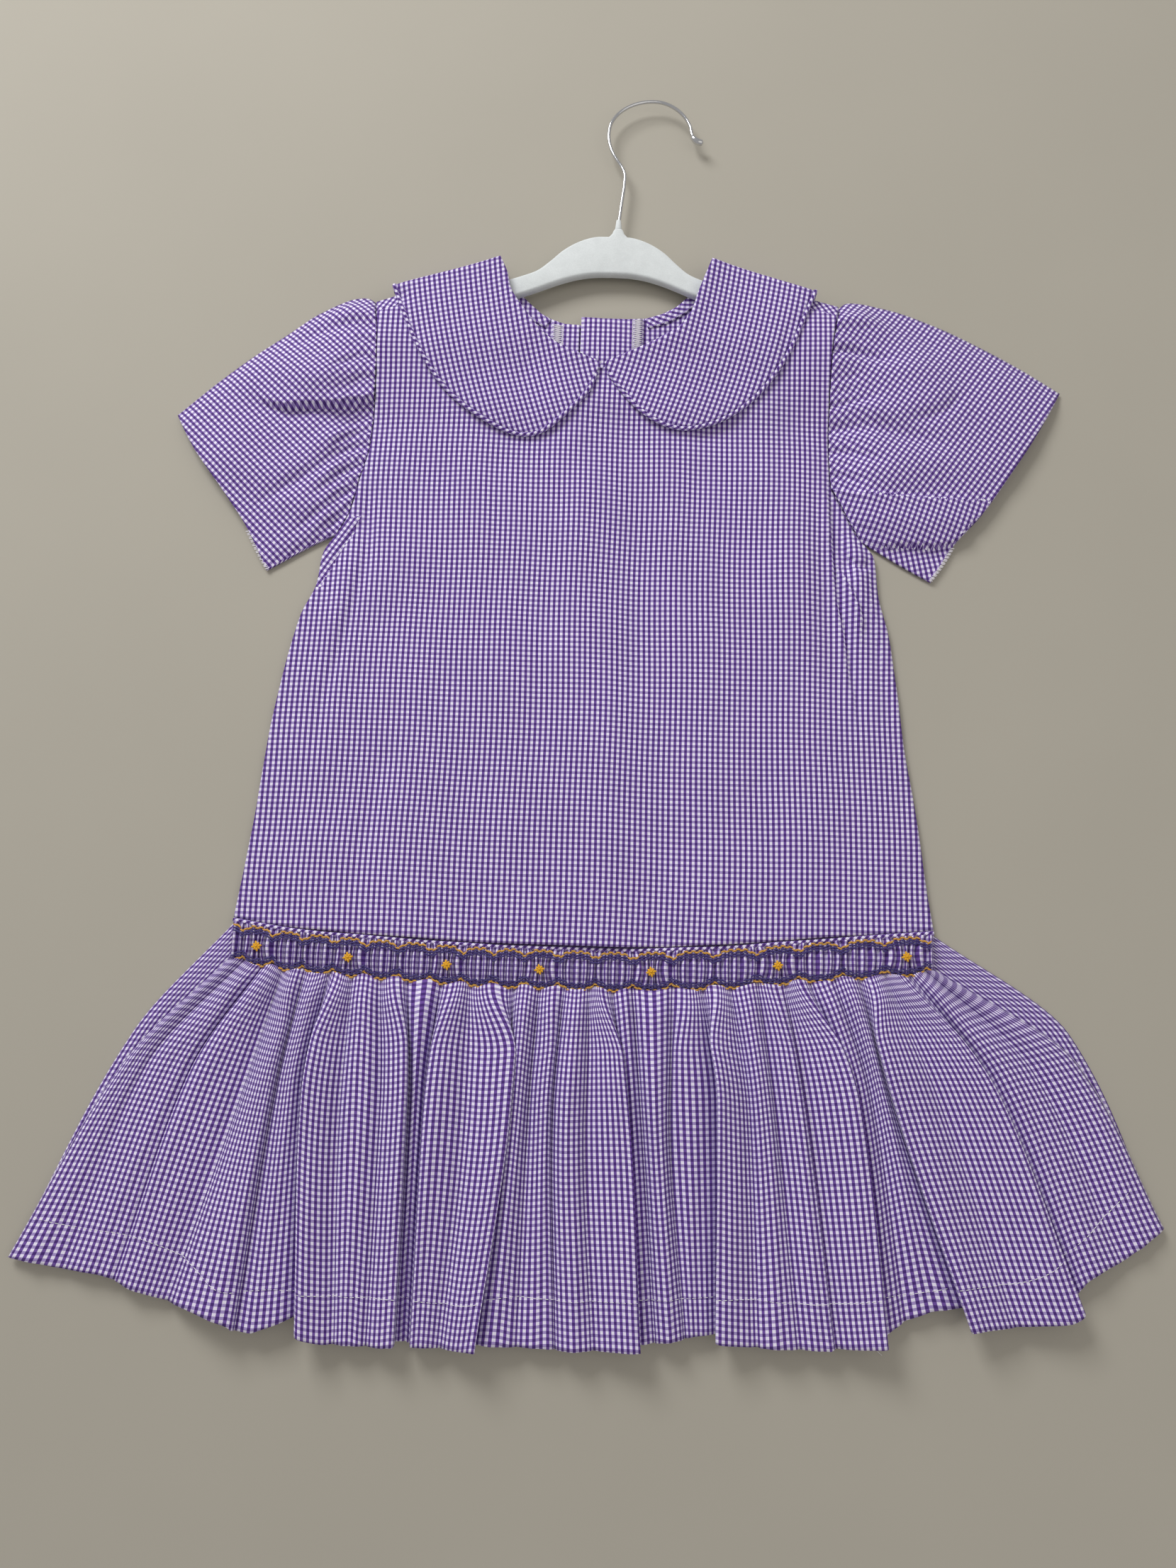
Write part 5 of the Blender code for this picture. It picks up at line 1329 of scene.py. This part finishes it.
class DRESS_OT_hanger(bpy.types.Operator):
    """Flocked hanger with its ferrule and wire hook"""

    bl_idname = "dress.hanger"
    bl_label = "Hanger"

    def execute(self, context):
        top = path([(dx, y) for dx, y, _ in HANGER_HALF], 44)
        low = path([(dx, y) for dx, _, y in HANGER_HALF[::-1]], 44)
        centre = NECK_X - HANGER_X
        neck = [(centre - 6.0, 279.4), (centre - 4.0, 281.6), (centre - 2.6, 285.6), (centre + 2.6, 285.6),
                (centre + 4.0, 281.6), (centre + 6.0, 279.4)]
        right = [tuple(p) for p in top if p[0] > neck[-1][0]] + [tuple(p) for p in low]
        left = [(-dx, y) for dx, y in right[::-1] if dx > 0.01]
        left = [p for p in left if not (p[1] > 270 and p[0] > neck[0][0] - 0.5)]
        outline = neck + right + left
        bpy.ops.object.select_all(action="DESELECT")
        bpy.ops.mesh.primitive_circle_add(vertices=len(outline), radius=0.05, fill_type="NGON")
        body = bpy.context.active_object
        body.name = "hanger_body_flocked"
        base = HANGER_MIDDLE - HANGER_THICK / 2
        for vertex, (dx, y) in zip(body.data.vertices, outline):
            vertex.co = ((HANGER_X + dx - CENTRE[0]) * MM, (y - CENTRE[1]) * MM, base * MM)
        bpy.ops.object.mode_set(mode="EDIT")
        bpy.ops.mesh.select_all(action="SELECT")
        bpy.ops.mesh.extrude_region_move(TRANSFORM_OT_translate={"value": (0, 0, HANGER_THICK * MM)})
        bpy.ops.mesh.select_all(action="SELECT")
        bpy.ops.mesh.normals_make_consistent(inside=False)
        bpy.ops.object.mode_set(mode="OBJECT")
        bevel = body.modifiers.new("rounded", "BEVEL")
        bevel.width = 1.9 * MM
        bevel.segments = 4
        bevel.limit_method = "ANGLE"
        bevel.angle_limit = math.radians(50)
        bpy.ops.object.modifier_apply(modifier="rounded")
        finish_piece(body, flocked(), ["hanger_body"])

        bpy.ops.object.select_all(action="DESELECT")
        place = ((NECK_X - CENTRE[0]) * MM, (289.0 - CENTRE[1]) * MM, HANGER_MIDDLE * MM)
        bpy.ops.mesh.primitive_cone_add(vertices=28, radius1=2.3 * MM, radius2=1.5 * MM, depth=7.4 * MM,
                                        location=place, rotation=(-math.pi / 2, 0, 0))
        ferrule = bpy.context.active_object
        ferrule.name = "hook_ferrule_flocked"
        round_off = ferrule.modifiers.new("rounded", "BEVEL")
        round_off.width = 0.5 * MM
        round_off.segments = 3
        bpy.ops.object.modifier_apply(modifier="rounded")
        bpy.ops.object.transform_apply(location=True, rotation=True, scale=True)
        finish_piece(ferrule, flocked(), ["hook_ferrule"])

        wire = path([(x, y, HANGER_MIDDLE) for x, y in HOOK_PATH], HOOK_STEPS)
        along_tip = (np.arange(HOOK_STEPS) - TIP_MIDDLE) / TIP_HALF
        swell = 1 + TIP_SWELL * np.sqrt(np.clip(1 - along_tip**2, 0, 1))
        swell[-1] = 0.3
        tube("hanger_hook_chromed", wire, HOOK_RADIUS, ["hanger_hook"], chromed(), sides=20,
             swell=swell)
        return {"FINISHED"}


class DRESS_OT_stage(bpy.types.Operator):
    """Floor, soft light and camera"""

    bl_idname = "dress.stage"
    bl_label = "Stage"

    def execute(self, context):
        bpy.ops.object.select_all(action="DESELECT")
        bpy.ops.mesh.primitive_plane_add(size=8.0, location=(0, 0, -0.0002))
        floor = bpy.context.active_object
        floor.name = "floor"
        floor.data.materials.append(pale_floor())
        # Name, place, size in metres, watts and tint
        lights = (
            ("window", (-1.0, 1.5, 1.25), 0.9, 32.5, "#FFFFFF"),
            ("room", (0.9, -0.5, 2.0), 2.4, 8.5, "#FFF9F0"),
        )
        for name, place, size, watts, tint in lights:
            bpy.ops.object.light_add(type="AREA", location=place)
            light = bpy.context.active_object
            light.name = name
            light.data.size = size
            light.data.energy = watts
            light.data.color = linear(tint)
            light.rotation_euler = (-Vector(place)).to_track_quat("-Z", "Y").to_euler()
        world = bpy.data.worlds.new("soft_room")
        context.scene.world = world
        world.use_nodes = True
        world.node_tree.nodes["Background"].inputs["Color"].default_value = (*linear("#F4F2F0"), 1)
        world.node_tree.nodes["Background"].inputs["Strength"].default_value = 0.43
        bpy.ops.object.camera_add(location=(-0.00315, -0.2192, 0.671))
        camera = bpy.context.active_object
        camera.rotation_euler = (math.radians(12), 0, math.radians(1.9))
        camera.data.lens = 27.0
        camera.data.sensor_width = 36.0
        camera.data.clip_start = 0.01
        context.scene.camera = camera
        context.scene.view_settings.view_transform = "Standard"
        return {"FINISHED"}


class DRESS_PT_panel(bpy.types.Panel):
    """Lists the dress's sizes, colours and building steps"""

    bl_idname = "DRESS_PT_panel"
    bl_label = "Smocked Dress"
    bl_space_type = "VIEW_3D"
    bl_region_type = "UI"
    bl_category = "Dress"

    def draw(self, context):
        layout = self.layout
        for group in (context.scene.dress_sizes, context.scene.dress_colours):
            box = layout.box()
            for name in group.__annotations__:
                box.prop(group, name)
        for step_class in STEPS:
            layout.operator(step_class.bl_idname)


STEPS = (DRESS_OT_hanger, DRESS_OT_bodice, DRESS_OT_neck_strips, DRESS_OT_collar, DRESS_OT_sleeves,
         DRESS_OT_band, DRESS_OT_embroidery, DRESS_OT_skirt, DRESS_OT_waist_piping, DRESS_OT_overlock,
         DRESS_OT_stage)
CLASSES = (DressSizes, DressColours) + STEPS + (DRESS_PT_panel,)


def register():
    """Adds the dress's properties, operators and panel to Blender."""
    for item in CLASSES:
        bpy.utils.register_class(item)
    bpy.types.Scene.dress_sizes = bpy.props.PointerProperty(type=DressSizes)
    bpy.types.Scene.dress_colours = bpy.props.PointerProperty(type=DressColours)


def unregister():
    """Takes them out again."""
    del bpy.types.Scene.dress_colours
    del bpy.types.Scene.dress_sizes
    for item in reversed(CLASSES):
        bpy.utils.unregister_class(item)


def main():
    """Builds the whole dress."""
    register()
    bpy.ops.dress.hanger()
    bpy.ops.dress.bodice()
    bpy.ops.dress.neck_strips()
    bpy.ops.dress.collar()
    bpy.ops.dress.sleeves()
    bpy.ops.dress.band()
    bpy.ops.dress.embroidery()
    bpy.ops.dress.skirt()
    bpy.ops.dress.waist_piping()
    bpy.ops.dress.overlock()
    bpy.ops.dress.stage()


if __name__ == "__main__":
    main()
